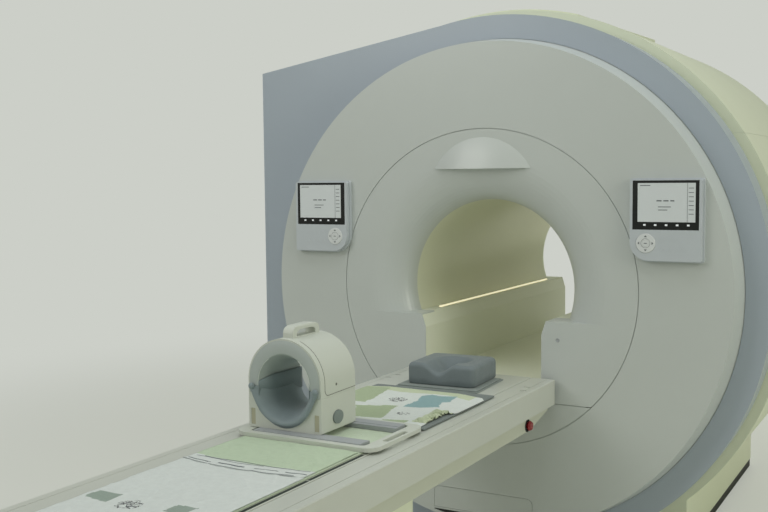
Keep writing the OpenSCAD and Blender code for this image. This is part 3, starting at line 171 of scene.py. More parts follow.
# Node groups
class NodeGroup:
    """A shader node group that is built once and then placed in many materials."""

    built: dict[str, bpy.types.NodeTree] = {}

    def __init__(self, name: str) -> None:
        """Start an empty group.

        Args:
            name: The group's name.
        """
        self.tree = bpy.data.node_groups.new(name, "ShaderNodeTree")
        self.inside = self.tree.nodes.new("NodeGroupInput")
        self.outside = self.tree.nodes.new("NodeGroupOutput")

    def take(self, **values: float | tuple[float, ...]) -> None:
        """Add the group's inputs.

        Args:
            **values: Each input's name, with underscores for spaces, and its value when nothing is set: one
                number, three for a vector or four for a colour.
        """
        for name, value in values.items():
            kind = {3: "Vector", 4: "Color"}[len(value)] if isinstance(value, tuple) else "Float"
            made = self.tree.interface.new_socket(
                name.replace("_", " "), in_out="INPUT", socket_type=f"NodeSocket{kind}"
            )
            made.default_value = value

    def give(self, *names: str) -> None:
        """Add the group's outputs.

        Args:
            *names: Their names, of which Color is a colour and each other one a number.
        """
        for name in names:
            kind = "Color" if name == "Color" else "Float"
            self.tree.interface.new_socket(name, in_out="OUTPUT", socket_type=f"NodeSocket{kind}")

    def add(self, kind: str, **settings: object) -> bpy.types.Node:
        """Add a node and set its properties.

        Args:
            kind: The node's type, without its ShaderNode prefix.
            **settings: Properties of the node.

        Returns:
            The node.
        """
        return add_node(self.tree, kind, **settings)

    def join(self, start: bpy.types.NodeSocket, end: bpy.types.NodeSocket) -> None:
        """Link two sockets."""
        self.tree.links.new(start, end)

    def put(self, start: bpy.types.NodeSocket, name: str) -> None:
        """Link a socket to one of the group's outputs."""
        self.join(start, self.outside.inputs[name])

    def where(self) -> bpy.types.NodeSocket:
        """Give the socket of the place on the object."""
        return self.add("TexCoord").outputs["Object"]

    def noise(self, where: bpy.types.NodeSocket, scale: object, **inputs: float) -> bpy.types.NodeSocket:
        """Add a noise texture.

        Args:
            where: The socket of the place.
            scale: A socket or a number.
            **inputs: The texture's other inputs.

        Returns:
            The socket of the noise.
        """
        node = self.add("TexNoise")
        self.join(where, node.inputs["Vector"])
        if isinstance(scale, bpy.types.NodeSocket):
            self.join(scale, node.inputs["Scale"])
        else:
            node.inputs["Scale"].default_value = scale
        for name, value in inputs.items():
            node.inputs[name].default_value = value
        return node.outputs["Fac"]

    def paint(self, share: bpy.types.NodeSocket, first: str = "Light", second: str = "Shade") -> None:
        """Put out a mix of two of the group's colours.

        Args:
            share: The socket of the second colour's share.
            first: The first colour's input.
            second: The second colour's input.
        """
        mix = self.add("Mix", data_type="RGBA")
        self.join(share, mix.inputs["Factor"])
        self.join(self.inside.outputs[first], mix.inputs["A"])
        self.join(self.inside.outputs[second], mix.inputs["B"])
        self.put(mix.outputs["Result"], "Color")

    def math(
        self, kind: str, first: object, second: object = None, clamp: bool = False
    ) -> bpy.types.NodeSocket:
        """Add a Math node over sockets or plain numbers.

        Args:
            kind: The operation.
            first: A socket or a number.
            second: A socket, a number or nothing.
            clamp: True to keep the result from 0 to 1.

        Returns:
            The result's socket.
        """
        node = self.add("Math", operation=kind, use_clamp=clamp)
        for i, value in enumerate((first, second)):
            if isinstance(value, bpy.types.NodeSocket):
                self.join(value, node.inputs[i])
            elif value is not None:
                node.inputs[i].default_value = value
        return node.outputs[0]


def add_node(tree: bpy.types.NodeTree, kind: str, **settings: object) -> bpy.types.Node:
    """Add a shader node to a tree and set its properties.

    Args:
        tree: The node tree.
        kind: The node's type, without its ShaderNode prefix.
        **settings: Properties of the node.

    Returns:
        The node.
    """
    node = tree.nodes.new(f"ShaderNode{kind}")
    for name, value in settings.items():
        setattr(node, name, value)
    return node


def cached(name: str, build: Callable[[str], NodeGroup]) -> bpy.types.NodeTree:
    """Give a node group by name, and build it at its first use.

    Args:
        name: The group's name.
        build: The function that builds it.

    Returns:
        The group's tree.
    """
    if name not in NodeGroup.built:
        NodeGroup.built[name] = build(name).tree
    return NodeGroup.built[name]


def build_moulding(name: str) -> NodeGroup:
    """Build the group of moulded plastic: cloudy colour, faint scuffs and a fine spark-eroded grain.

    Args:
        name: The group's name.

    Returns:
        The group.
    """
    g = NodeGroup(name)
    g.take(Light=(0.8, 0.8, 0.8, 1), Shade=(0.7, 0.7, 0.7, 1), Cloud_Scale=3.0, Grain_Scale=900.0,
           Rough=0.4, Spread=0.08)
    g.give("Color", "Roughness", "Height")
    where, inputs = g.where(), g.inside.outputs
    cloud = g.noise(where, inputs["Cloud Scale"], Detail=5, Roughness=0.6)
    dust = g.noise(where, 42, Detail=4)
    up = g.add("SeparateXYZ")
    g.join(g.add("NewGeometry").outputs["Normal"], up.inputs[0])
    flat = g.math("MULTIPLY", g.math("MAXIMUM", up.outputs["Z"], 0.0), dust)
    mixed = g.math("ADD", g.math("MULTIPLY", cloud, 0.85), g.math("MULTIPLY", flat, 0.35), clamp=True)
    g.paint(mixed)
    swing = g.math("MULTIPLY", g.math("SUBTRACT", mixed, 0.45), inputs["Spread"])
    g.put(g.math("ADD", inputs["Rough"], swing, clamp=True), "Roughness")
    g.put(g.noise(where, inputs["Grain Scale"], Detail=2), "Height")
    return g


def build_foam(name: str) -> NodeGroup:
    """Build the group of skinned foam: pores, faint mottling and rubbed high spots.

    Args:
        name: The group's name.

    Returns:
        The group.
    """
    g = NodeGroup(name)
    g.take(Light=(0.3, 0.3, 0.3, 1), Shade=(0.2, 0.2, 0.2, 1), Pore_Scale=700.0)
    g.give("Color", "Roughness", "Height")
    where = g.where()
    cells = g.add("TexVoronoi", feature="F1")
    g.join(where, cells.inputs["Vector"])
    g.join(g.inside.outputs["Pore Scale"], cells.inputs["Scale"])
    pores = cells.outputs["Distance"]
    cloud = g.noise(where, 26, Detail=6)
    blend = g.math("ADD", g.math("MULTIPLY", cloud, 0.8), g.math("MULTIPLY", pores, 0.25))
    g.paint(g.math("SUBTRACT", blend, 0.1, clamp=True))
    g.put(g.math("ADD", g.math("MULTIPLY", cloud, 0.25), 0.5), "Roughness")
    g.put(g.math("ADD", pores, g.math("MULTIPLY", cloud, 0.6)), "Height")
    return g


def build_weave(name: str) -> NodeGroup:
    """Build the group of plain woven cotton: warp and weft threads with slight slubs.

    Args:
        name: The group's name.

    Returns:
        The group.
    """
    g = NodeGroup(name)
    g.take(Color=(0.8, 0.8, 0.8, 1), Thread_Scale=420.0)
    g.give("Color", "Height")
    where = g.where()
    threads = []
    for direction in ("X", "Y"):
        wave = g.add("TexWave", wave_type="BANDS", bands_direction=direction)
        for socket, value in (("Distortion", 1.4), ("Detail", 2), ("Detail Scale", 0.4)):
            wave.inputs[socket].default_value = value
        g.join(where, wave.inputs["Vector"])
        g.join(g.inside.outputs["Thread Scale"], wave.inputs["Scale"])
        threads.append(wave.outputs["Fac"])
    height = g.math("MAXIMUM", *threads)
    slub = g.noise(where, 60, Detail=5)
    shade = g.math("ADD", g.math("MULTIPLY", height, 0.12), g.math("MULTIPLY", slub, 0.16))
    level = g.math("ADD", shade, 0.78, clamp=True)
    grey = g.add("CombineColor")
    for channel in ("Red", "Green", "Blue"):
        g.join(level, grey.inputs[channel])
    dark = g.add("Mix", data_type="RGBA", blend_type="MULTIPLY")
    dark.inputs["Factor"].default_value = 1.0
    g.join(g.inside.outputs["Color"], dark.inputs["A"])
    g.join(grey.outputs[0], dark.inputs["B"])
    g.put(dark.outputs["Result"], "Color")
    g.put(g.math("ADD", height, g.math("MULTIPLY", slub, 0.7)), "Height")
    return g


def build_scribbles(name: str) -> NodeGroup:
    """Build the group of a cotton's print: small ink scribbles round two spots.

    Args:
        name: The group's name.

    Returns:
        The group.
    """
    g = NodeGroup(name)
    g.take(Ground=(0.8, 0.8, 0.8, 1), Ink=(0.05, 0.05, 0.06, 1), First_Spot=(0.0, 0.0, 0.0),
           Second_Spot=(0.0, 0.0, 0.0))
    g.give("Color")
    where = g.where()
    flat = g.add("VectorMath", operation="MULTIPLY")
    g.join(where, flat.inputs[0])
    flat.inputs[1].default_value = (1.0, 1.0, 0.0)
    near = []
    for spot, reach in (("First Spot", 0.034), ("Second Spot", 0.022)):
        far = g.add("VectorMath", operation="DISTANCE")
        g.join(flat.outputs[0], far.inputs[0])
        g.join(g.inside.outputs[spot], far.inputs[1])
        near.append(g.math("LESS_THAN", far.outputs["Value"], reach))
    squiggle = g.noise(where, 62, Detail=3, Distortion=1.1)
    line = g.math("LESS_THAN", g.math("ABSOLUTE", g.math("SUBTRACT", squiggle, 0.5)), 0.042)
    g.paint(g.math("MULTIPLY", line, g.math("MAXIMUM", *near)), "Ground", "Ink")
    return g


def build_brushed(name: str) -> NodeGroup:
    """Build the group of worked metal: long fine streaks in colour, roughness and height.

    Args:
        name: The group's name.

    Returns:
        The group.
    """
    g = NodeGroup(name)
    g.take(Light=(0.7, 0.7, 0.7, 1), Shade=(0.5, 0.5, 0.5, 1), Stretch=(2.0, 90.0, 90.0))
    g.give("Color", "Roughness", "Height")
    pull = g.add("VectorMath", operation="MULTIPLY")
    g.join(g.where(), pull.inputs[0])
    g.join(g.inside.outputs["Stretch"], pull.inputs[1])
    streak = g.noise(pull.outputs[0], 6, Detail=8)
    g.paint(streak)
    g.put(g.math("ADD", g.math("MULTIPLY", streak, 0.3), 0.2), "Roughness")
    g.put(streak, "Height")
    return g


# Materials
class Material:
    """A material under construction, with its shader and its bump."""

    def __init__(self, name: str) -> None:
        """Start a material that holds only its shader.

        Args:
            name: The material's name.
        """
        self.made = bpy.data.materials.new(name)
        self.made.use_nodes = True
        self.tree = self.made.node_tree
        self.shader = next(n for n in self.tree.nodes if n.type == "BSDF_PRINCIPLED")

    def set(self, **values: object) -> None:
        """Set plain values on the shader's own sockets.

        Args:
            **values: Socket names with underscores for spaces, and their values.
        """
        for name, value in values.items():
            self.shader.inputs[name.replace("_", " ")].default_value = value

    def group(self, tree: bpy.types.NodeTree, **values: object) -> bpy.types.Node:
        """Place a node group in the material.

        Args:
            tree: The group.
            **values: Values of its inputs, with underscores for spaces.

        Returns:
            The group's node.
        """
        node = add_node(self.tree, "Group", node_tree=tree)
        for name, value in values.items():
            socket = node.inputs[name.replace("_", " ")]
            socket.default_value = (*value, 1.0) if socket.type == "RGBA" and len(value) == 3 else value
        return node

    def feed(self, node: bpy.types.Node, depth: float) -> None:
        """Link a group's outputs to the shader, with its height through a Bump node.

        Args:
            node: The group's node.
            depth: The bump's depth in metres.
        """
        for out, socket in (("Color", "Base Color"), ("Roughness", "Roughness")):
            if out in node.outputs:
                self.tree.links.new(node.outputs[out], self.shader.inputs[socket])
        if "Height" in node.outputs:
            bump = add_node(self.tree, "Bump")
            bump.inputs["Strength"].default_value = 1.0
            bump.inputs["Distance"].default_value = depth
            self.tree.links.new(node.outputs["Height"], bump.inputs["Height"])
            self.tree.links.new(bump.outputs["Normal"], self.shader.inputs["Normal"])


@dataclass(frozen=True)
class Moulding:
    """A moulded or painted plastic surface."""

    name: str
    colour: Colour
    rough: float = 0.38
    coat: float = 0.15
    grain: float = 900.0
    depth: float = 0.00004
    shade: float = 0.93
    glow: float = 0.0

    def build(self) -> bpy.types.Material:
        """Build the material.

        Returns:
            The finished material.
        """
        made = Material(self.name)
        made.set(Coat_Weight=self.coat, Coat_Roughness=0.2)
        node = made.group(
            cached("moulding", build_moulding), Light=self.colour, Shade=shaded(self.colour, self.shade),
            Grain_Scale=self.grain, Rough=self.rough,
        )
        made.feed(node, self.depth)
        if self.glow:
            made.set(Emission_Strength=self.glow)
            made.tree.links.new(node.outputs["Color"], made.shader.inputs["Emission Color"])
        return made.made


@dataclass(frozen=True)
class Foam:
    """Skinned foam or soft rubber."""

    name: str
    colour: Colour
    pores: float = 650.0
    depth: float = 0.0003
    sheen: float = 0.15

    def build(self) -> bpy.types.Material:
        """Build the material.

        Returns:
            The finished material.
        """
        made = Material(self.name)
        made.set(Sheen_Weight=self.sheen, Sheen_Roughness=0.4, Specular_IOR_Level=0.35)
        node = made.group(
            cached("foam", build_foam), Light=self.colour, Shade=shaded(self.colour, 0.8),
            Pore_Scale=self.pores,
        )
        made.feed(node, self.depth)
        return made.made


@dataclass(frozen=True)
class Cotton:
    """Woven cotton, plain or with two small scribbles."""

    name: str
    colour: Colour
    spots: tuple[Point, Point] | None = None
    ink: Colour = srgb(44, 48, 58)

    def build(self) -> bpy.types.Material:
        """Build the material.

        Returns:
            The finished material.
        """
        made = Material(self.name)
        made.set(Roughness=0.85, Sheen_Weight=0.25, Sheen_Roughness=0.5, Specular_IOR_Level=0.2)
        weave = made.group(cached("weave", build_weave), Color=self.colour, Thread_Scale=380.0)
        if self.spots:
            inked = made.group(
                cached("scribbles", build_scribbles), Ground=self.colour, Ink=self.ink,
                First_Spot=self.spots[0], Second_Spot=self.spots[1],
            )
            made.tree.links.new(inked.outputs["Color"], weave.inputs["Color"])
        made.feed(weave, 0.0002)
        return made.made


@dataclass(frozen=True)
class Metal:
    """Turned, rolled or drawn metal."""

    name: str
    colour: Colour
    stretch: Point = (2.0, 90.0, 90.0)
    metallic: float = 1.0

    def build(self) -> bpy.types.Material:
        """Build the material.

        Returns:
            The finished material.
        """
        made = Material(self.name)
        made.set(Metallic=self.metallic)
        node = made.group(
            cached("brushed", build_brushed), Light=self.colour, Shade=shaded(self.colour, 0.72),
            Stretch=self.stretch,
        )
        made.feed(node, 0.00006)
        return made.made


FINISHES: dict[Finish, Moulding | Foam | Metal] = {
    Finish.COVER: Moulding("cover_plastic", srgb(200, 205, 203), rough=0.34, coat=0.25),
    Finish.SURROUND: Moulding("surround_paint", srgb(168, 178, 190), rough=0.40, coat=0.3),
    Finish.BODY: Moulding("body_plastic", srgb(224, 229, 204), rough=0.42, coat=0.1),
    # The bore liner is the covers' white plastic; its cream tint is painted warm light.
    Finish.BORE: Moulding("bore_plastic", srgb(221, 223, 199), rough=0.4, coat=0.1),
    Finish.BRIDGE: Moulding("bridge_plastic", srgb(232, 235, 218), rough=0.4, coat=0.1),
    Finish.RAIL: Moulding("rail_plastic", srgb(202, 205, 197), rough=0.36, coat=0.2),
    Finish.SKIRT: Moulding("skirt_plastic", srgb(200, 203, 188), rough=0.45, coat=0.05),
    Finish.DARK: Moulding("dark_plastic", srgb(30, 31, 33), rough=0.55, coat=0.0, shade=1.4),
    # The cradle strips stand for the grey mattress's side; their dark colour is painted shade of that side
    # and of the gap beside it.
    Finish.STRIP: Moulding("strip_rubber", srgb(58, 66, 62), rough=0.6, coat=0.0, shade=0.6),
    Finish.PAINT: Moulding("steel_paint", srgb(150, 153, 154), rough=0.5, coat=0.0),
    Finish.PANEL: Moulding("panel_plastic", srgb(196, 202, 208), rough=0.35, coat=0.2, grain=1400.0),
    Finish.BUTTON: Moulding("button_plastic", srgb(222, 225, 227), rough=0.3, coat=0.3, grain=1400.0),
    Finish.GLASS: Moulding("screen_glass", srgb(16, 18, 22), rough=0.08, coat=0.6, shade=1.1, depth=0.0),
    Finish.RED: Moulding("stop_red", srgb(140, 24, 30), rough=0.28, coat=0.4),
    Finish.GREY: Moulding("grey_plastic", srgb(168, 172, 176), rough=0.45, coat=0.05),
    Finish.SLATE: Moulding("slate_plastic", srgb(132, 142, 140), rough=0.45, coat=0.1),
    Finish.COIL: Moulding(
        "coil_plastic", srgb(208, 212, 203), rough=0.42, coat=0.08, grain=1300.0, depth=0.00006),
    Finish.LIGHT: Moulding("light_diffuser", srgb(240, 232, 196), rough=0.5, coat=0.0, glow=0.8),
    Finish.STEEL: Metal("vessel_steel", srgb(188, 190, 192)),
    Finish.ALUMINIUM: Metal("frame_aluminium", srgb(196, 198, 202), stretch=(90.0, 2.0, 90.0)),
    Finish.RESIN: Metal("cast_resin", srgb(176, 158, 108), stretch=(30.0, 260.0, 30.0), metallic=0.0),
    Finish.COPPER: Metal("coil_copper", srgb(196, 124, 78), stretch=(90.0, 2.0, 90.0), metallic=0.7),
    Finish.BELT: Foam("belt_rubber", srgb(34, 34, 36), pores=900.0, sheen=0.0),
}

DRESS: dict[Finish, tuple[str, ...]] = {
    Finish.COVER: ("front_cover", "funnel_cover", "lower_front_cover", "access_panel", "mouth_plate"),
    Finish.BORE: ("bore_liner",),
    Finish.BRIDGE: ("table_bridge",),
    Finish.SURROUND: ("surround_panel",),
    Finish.BODY: ("side_cover_left", "side_cover_right", "top_cover", "top_housing", "rear_cover",
                  "rear_funnel", "pedestal_lower_cover", "pedestal_upper_cover"),
    Finish.RAIL: ("side_rails", "end_caps", "cradle"),
    Finish.SKIRT: ("table_skirt",),
    Finish.DARK: ("kick_plate", "plinth"),
    Finish.STRIP: ("cradle_strips",),
    Finish.PAINT: ("table_base", "lift_column_outer", "lift_column_inner"),
    Finish.LIGHT: ("light_strips",),
    Finish.STEEL: ("magnet_vessel", "cold_head", "magnet_feet"),
    Finish.ALUMINIUM: ("table_frame", "pulley_head", "pulley_foot", "cold_mass", "belt_clamp"),
    Finish.RESIN: ("gradient_coil",),
    Finish.COPPER: ("body_coil",),
    Finish.PANEL: ("panel_housings",),
    Finish.BUTTON: ("panel_left_pad", "panel_left_centre", "panel_right_pad", "panel_right_centre"),
    Finish.GLASS: ("panel_screens",),
    Finish.RED: ("estop_left", "estop_right"),
    Finish.BELT: ("drive_belt",),
    Finish.GREY: ("coil_rails",),
    Finish.SLATE: ("coil_release_button",),
    Finish.COIL: ("coil_tray", "coil_lower_shell", "coil_upper_shell"),
}


# Meshes
def make_piece(
    name: str, points: Sequence[Point], faces: Sequence[Sequence[int]], material: bpy.types.Material,
    body: str, smooth: bool = True, replaces: Sequence[str] = (), slot: str | None = None,
) -> bpy.types.Object:
    """Make a mesh object, give it its material and let it ride on a body.

    Args:
        name: The piece's name.
        points: The vertices, in metres.
        faces: The faces, as lists of vertex numbers.
        material: The piece's material.
        body: The CAD body that carries it.
        smooth: True for smooth shading.
        replaces: CAD nodes that the piece stands for.
        slot: The record's material slot; not used.

    Returns:
        The object.
    """
    mesh = bpy.data.meshes.new(name)
    mesh.from_pydata([tuple(p) for p in points], [], [tuple(f) for f in faces])
    mesh.validate()
    mesh.polygons.foreach_set("use_smooth", [smooth] * len(mesh.polygons))
    mesh.materials.append(material)
    obj = bpy.data.objects.new(name, mesh)
    bpy.context.scene.collection.objects.link(obj)
    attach(obj, body)
    if replaces:
        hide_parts(*replaces)
    return obj


def apply_modifiers(obj: bpy.types.Object) -> None:
    """Replace an object's mesh by its evaluated one and drop its modifiers.

    Args:
        obj: The object.
    """
    graph = bpy.context.evaluated_depsgraph_get()
    mesh = bpy.data.meshes.new_from_object(obj.evaluated_get(graph))
    obj.modifiers.clear()
    obj.data = mesh


def ring_faces(count: int, rings: int, capped: bool = False) -> list[list[int]]:
    """Join closed rings of vertices that follow each other into quads.

    Args:
        count: Vertices in a ring.
        rings: Number of rings.
        capped: True to close the first and the last ring with a face.

    Returns:
        The faces.
    """
    faces = []
    for first in range(0, (rings - 1) * count, count):
        for i in range(count):
            j = (i + 1) % count
            faces.append([first + i, first + j, first + count + j, first + count + i])
    if capped:
        faces += [list(range(count))[::-1], [(rings - 1) * count + i for i in range(count)]]
    return faces


def rounded_loop(width: float, length: float, radius: float, steps: int, straight: int) -> list[Pair]:
    """Give a rectangle with round corners as an even loop of points.

    Args:
        width: Size along X.
        length: Size along Y.
        radius: Corner radius.
        steps: Points in a corner.
        straight: Points on a straight side.

    Returns:
        The loop, counter-clockwise from the lower right corner.
    """
    loop = []
    corners = ((1, -1, -90), (1, 1, 0), (-1, 1, 90), (-1, -1, 180))
    for k, (sx, sy, start) in enumerate(corners):
        cx, cy = sx * (width / 2 - radius), sy * (length / 2 - radius)
        arc = [(cx + x, cy + y) for x, y in (polar(radius, start + 90 * i / steps) for i in range(steps + 1))]
        loop += arc
        nx, ny, nstart = corners[(k + 1) % 4]
        (x0, y0), (dx, dy) = arc[-1], polar(radius, nstart)
        x1, y1 = nx * (width / 2 - radius) + dx, ny * (length / 2 - radius) + dy
        loop += [(x0 + (x1 - x0) * i / straight, y0 + (y1 - y0) * i / straight) for i in range(1, straight)]
    return loop


def slab_points(
    loop: Sequence[Pair], size: Pair, edge: float, height: Callable[[float, float], float], rings: int
) -> Mesh:
    """Build a closed pad with a flat bottom, upright sides, a rounded top edge and a shaped top.

    Args:
        loop: The outline.
        size: The outline's width and length.
        edge: Radius of the top edge.
        height: The top's height over a point of the outline's plane.
        rings: Number of rings over the top.

    Returns:
        The vertices and the faces.
    """

    def inset(by: float) -> list[Pair]:
        """Shrink the outline by a distance."""
        return [(x * (1 - 2 * by / size[0]), y * (1 - 2 * by / size[1])) for x, y in loop]

    count = len(loop)
    base = min(edge * 0.35, 0.003)
    points: list[Point] = []
    for share in (0.25, 0.6, 1.0):
        ring = inset(base)
        points += [(x * share, y * share, 0.0) for x, y in ring]
    points += [(x, y, base) for x, y in loop]
    for share in (0.4, 0.75):
        points += [(x * 1.004, y * 1.004, base + (height(x, y) - edge - base) * share) for x, y in loop]
    for k in range(7):
        angle = math.radians(90 * k / 6)
        ring = inset(edge * (1 - math.cos(angle)))
        points += [(x, y, height(x, y) - edge * (1 - math.sin(angle))) for x, y in ring]
    inner = inset(edge)
    for k in range(1, rings):
        share = 1 - k / rings
        points += [(x * share, y * share, height(x * share, y * share)) for x, y in inner]
    total = len(points) // count
    faces = ring_faces(count, total)
    points += [(0, 0, 0), (0, 0, height(0, 0))]
    last = (total - 1) * count
    for i in range(count):
        j = (i + 1) % count
        faces.append([j, i, len(points) - 2])
        faces.append([last + i, last + j, len(points) - 1])
    return points, faces


def moved(points: Iterable[Point], matrix: Matrix) -> list[Point]:
    """Move points by a matrix.

    Args:
        points: The points.
        matrix: The matrix.

    Returns:
        The moved points.
    """
    return [tuple(matrix @ Vector(p)) for p in points]


def cloth_grid(columns: int, rows: int, surface: Callable[[float, float], Point]) -> Mesh:
    """Lay a grid over a surface that is given by two shares from 0 to 1.

    Args:
        columns: Quads along the first share.
        rows: Quads along the second share.
        surface: Gives the point for two shares.

    Returns:
        The vertices and the faces.
    """
    points = [surface(i / columns, j / rows) for j in range(rows + 1) for i in range(columns + 1)]
    step = columns + 1
    faces = [
        [j * step + i, j * step + i + 1, (j + 1) * step + i + 1, (j + 1) * step + i]
        for j in range(rows) for i in range(columns)
    ]
    return points, faces


def thicken(obj: bpy.types.Object, by: float) -> None:
    """Give a sheet its thickness.

    Args:
        obj: The sheet.
        by: The thickness in metres.
    """
    solid = obj.modifiers.new("thickness", "SOLIDIFY")
    solid.thickness = by
    solid.offset = 1.0
    apply_modifiers(obj)


def bar(low: Point, high: Point, bevel: float = 0.0) -> Mesh:
    """Give a box whose front faces -Y, with its front edge chamfered.

    Args:
        low: Lowest corner.
        high: Highest corner.
        bevel: Width of the front chamfer.

    Returns:
        The vertices and the faces.
    """
    (x0, y0, z0), (x1, y1, z1) = low, high
    points = [
        (x, y, z)
        for y, b in ((y1, 0.0), (y0 + bevel, 0.0), (y0, bevel))
        for x, z in ((x0 + b, z0 + b), (x1 - b, z0 + b), (x1 - b, z1 - b), (x0 + b, z1 - b))
    ]
    return points, ring_faces(4, 3, capped=True)


def merged(parts: Iterable[Mesh]) -> Mesh:
    """Join several meshes into one list of vertices and faces.

    Args:
        parts: Vertices and faces of each mesh.

    Returns:
        The joined vertices and faces.
    """
    points: list[Point] = []
    faces: list[list[int]] = []
    for some, more in parts:
        faces += [[i + len(points) for i in f] for f in more]
        points += some
    return points, faces


def lathe(profile: Sequence[Pair], steps: int = 48) -> Mesh:
    """Turn a profile of radius and height about Z.

    Args:
        profile: Radius and height of each point, from the bottom centre to the top centre.
        steps: Number of steps round the axis.

    Returns:
        The vertices and the faces.
    """
    points = [(*polar(max(r, 1e-5), 360 * i / steps), h) for r, h in profile for i in range(steps)]
    return points, ring_faces(steps, len(profile), capped=True)


def tube(path: Sequence[Point], radius: float, sides: int = 8) -> Mesh:
    """Sweep a round section along a path.

    Args:
        path: The centre line.
        radius: The section's radius.
        sides: Sides of the section.

    Returns:
        The vertices and the faces.
    """
    line = [Vector(p) for p in path]
    points: list[Point] = []
    for k, here in enumerate(line):
        ahead = (line[min(k + 1, len(line) - 1)] - line[max(k - 1, 0)]).normalized()
        side = ahead.cross(Vector((0, 0, 1)) if abs(ahead.z) < 0.9 else Vector((0, 1, 0))).normalized()
        rise = side.cross(ahead)
        for i in range(sides):
            angle = 2 * math.pi * i / sides
            points.append(tuple(here + radius * (math.cos(angle) * side + math.sin(angle) * rise)))
    return points, ring_faces(sides, len(line), capped=True)


def along(place: float, line: Sequence[Pair]) -> float:
    """Give the height of a broken line over a place, level past both of its ends.

    Args:
        place: The place.
        line: Place and height of the line's corners, in rising order.

    Returns:
        The height.
    """
    for (x0, y0), (x1, y1) in zip(line, line[1:]):
        if place <= x1:
            return y0 + (y1 - y0) * max(0.0, place - x0) / (x1 - x0)
    return line[-1][1]


# Sub-assemblies
@dataclass
class Gantry:
    """The gantry's covers, magnet and small fittings."""

    lock_x: float = 0.319
    lock_z: float = 0.851
    lock_r: float = 0.008
    front_y: float = -0.85
    finishes: dict[Finish, bpy.types.Material] = field(default_factory=dict)

    def dress(self, nodes: dict[str, bpy.types.Object]) -> None:
        """Give every CAD node its material.

        Args:
            nodes: The CAD nodes by name.
        """
        self.finishes.update({finish: FINISHES[finish].build() for finish in Finish})
        for finish, names in DRESS.items():
            for name in names:
                nodes[name].data.materials.clear()
                nodes[name].data.materials.append(self.finishes[finish])
                LOG.info("dressed %s in %s", name, finish.value)

    def build_lock(self) -> None:
        """Build the ring of the small cover lock on the funnel's right block."""
        r = self.lock_r
        rim = [(r, 0.0), (r, 0.001), (r - 0.0012, 0.0016), (r - 0.0024, 0.001), (r - 0.003, 0.0002)]
        points, faces = lathe([(0.0, 0.0), *rim, (0.0, 0.0002)], 40)
        place = stood((self.lock_x, self.front_y, self.lock_z), "X", 90)
        make_piece("funnel_lock_ring", moved(points, place), faces, self.finishes[Finish.GREY], "gantry")


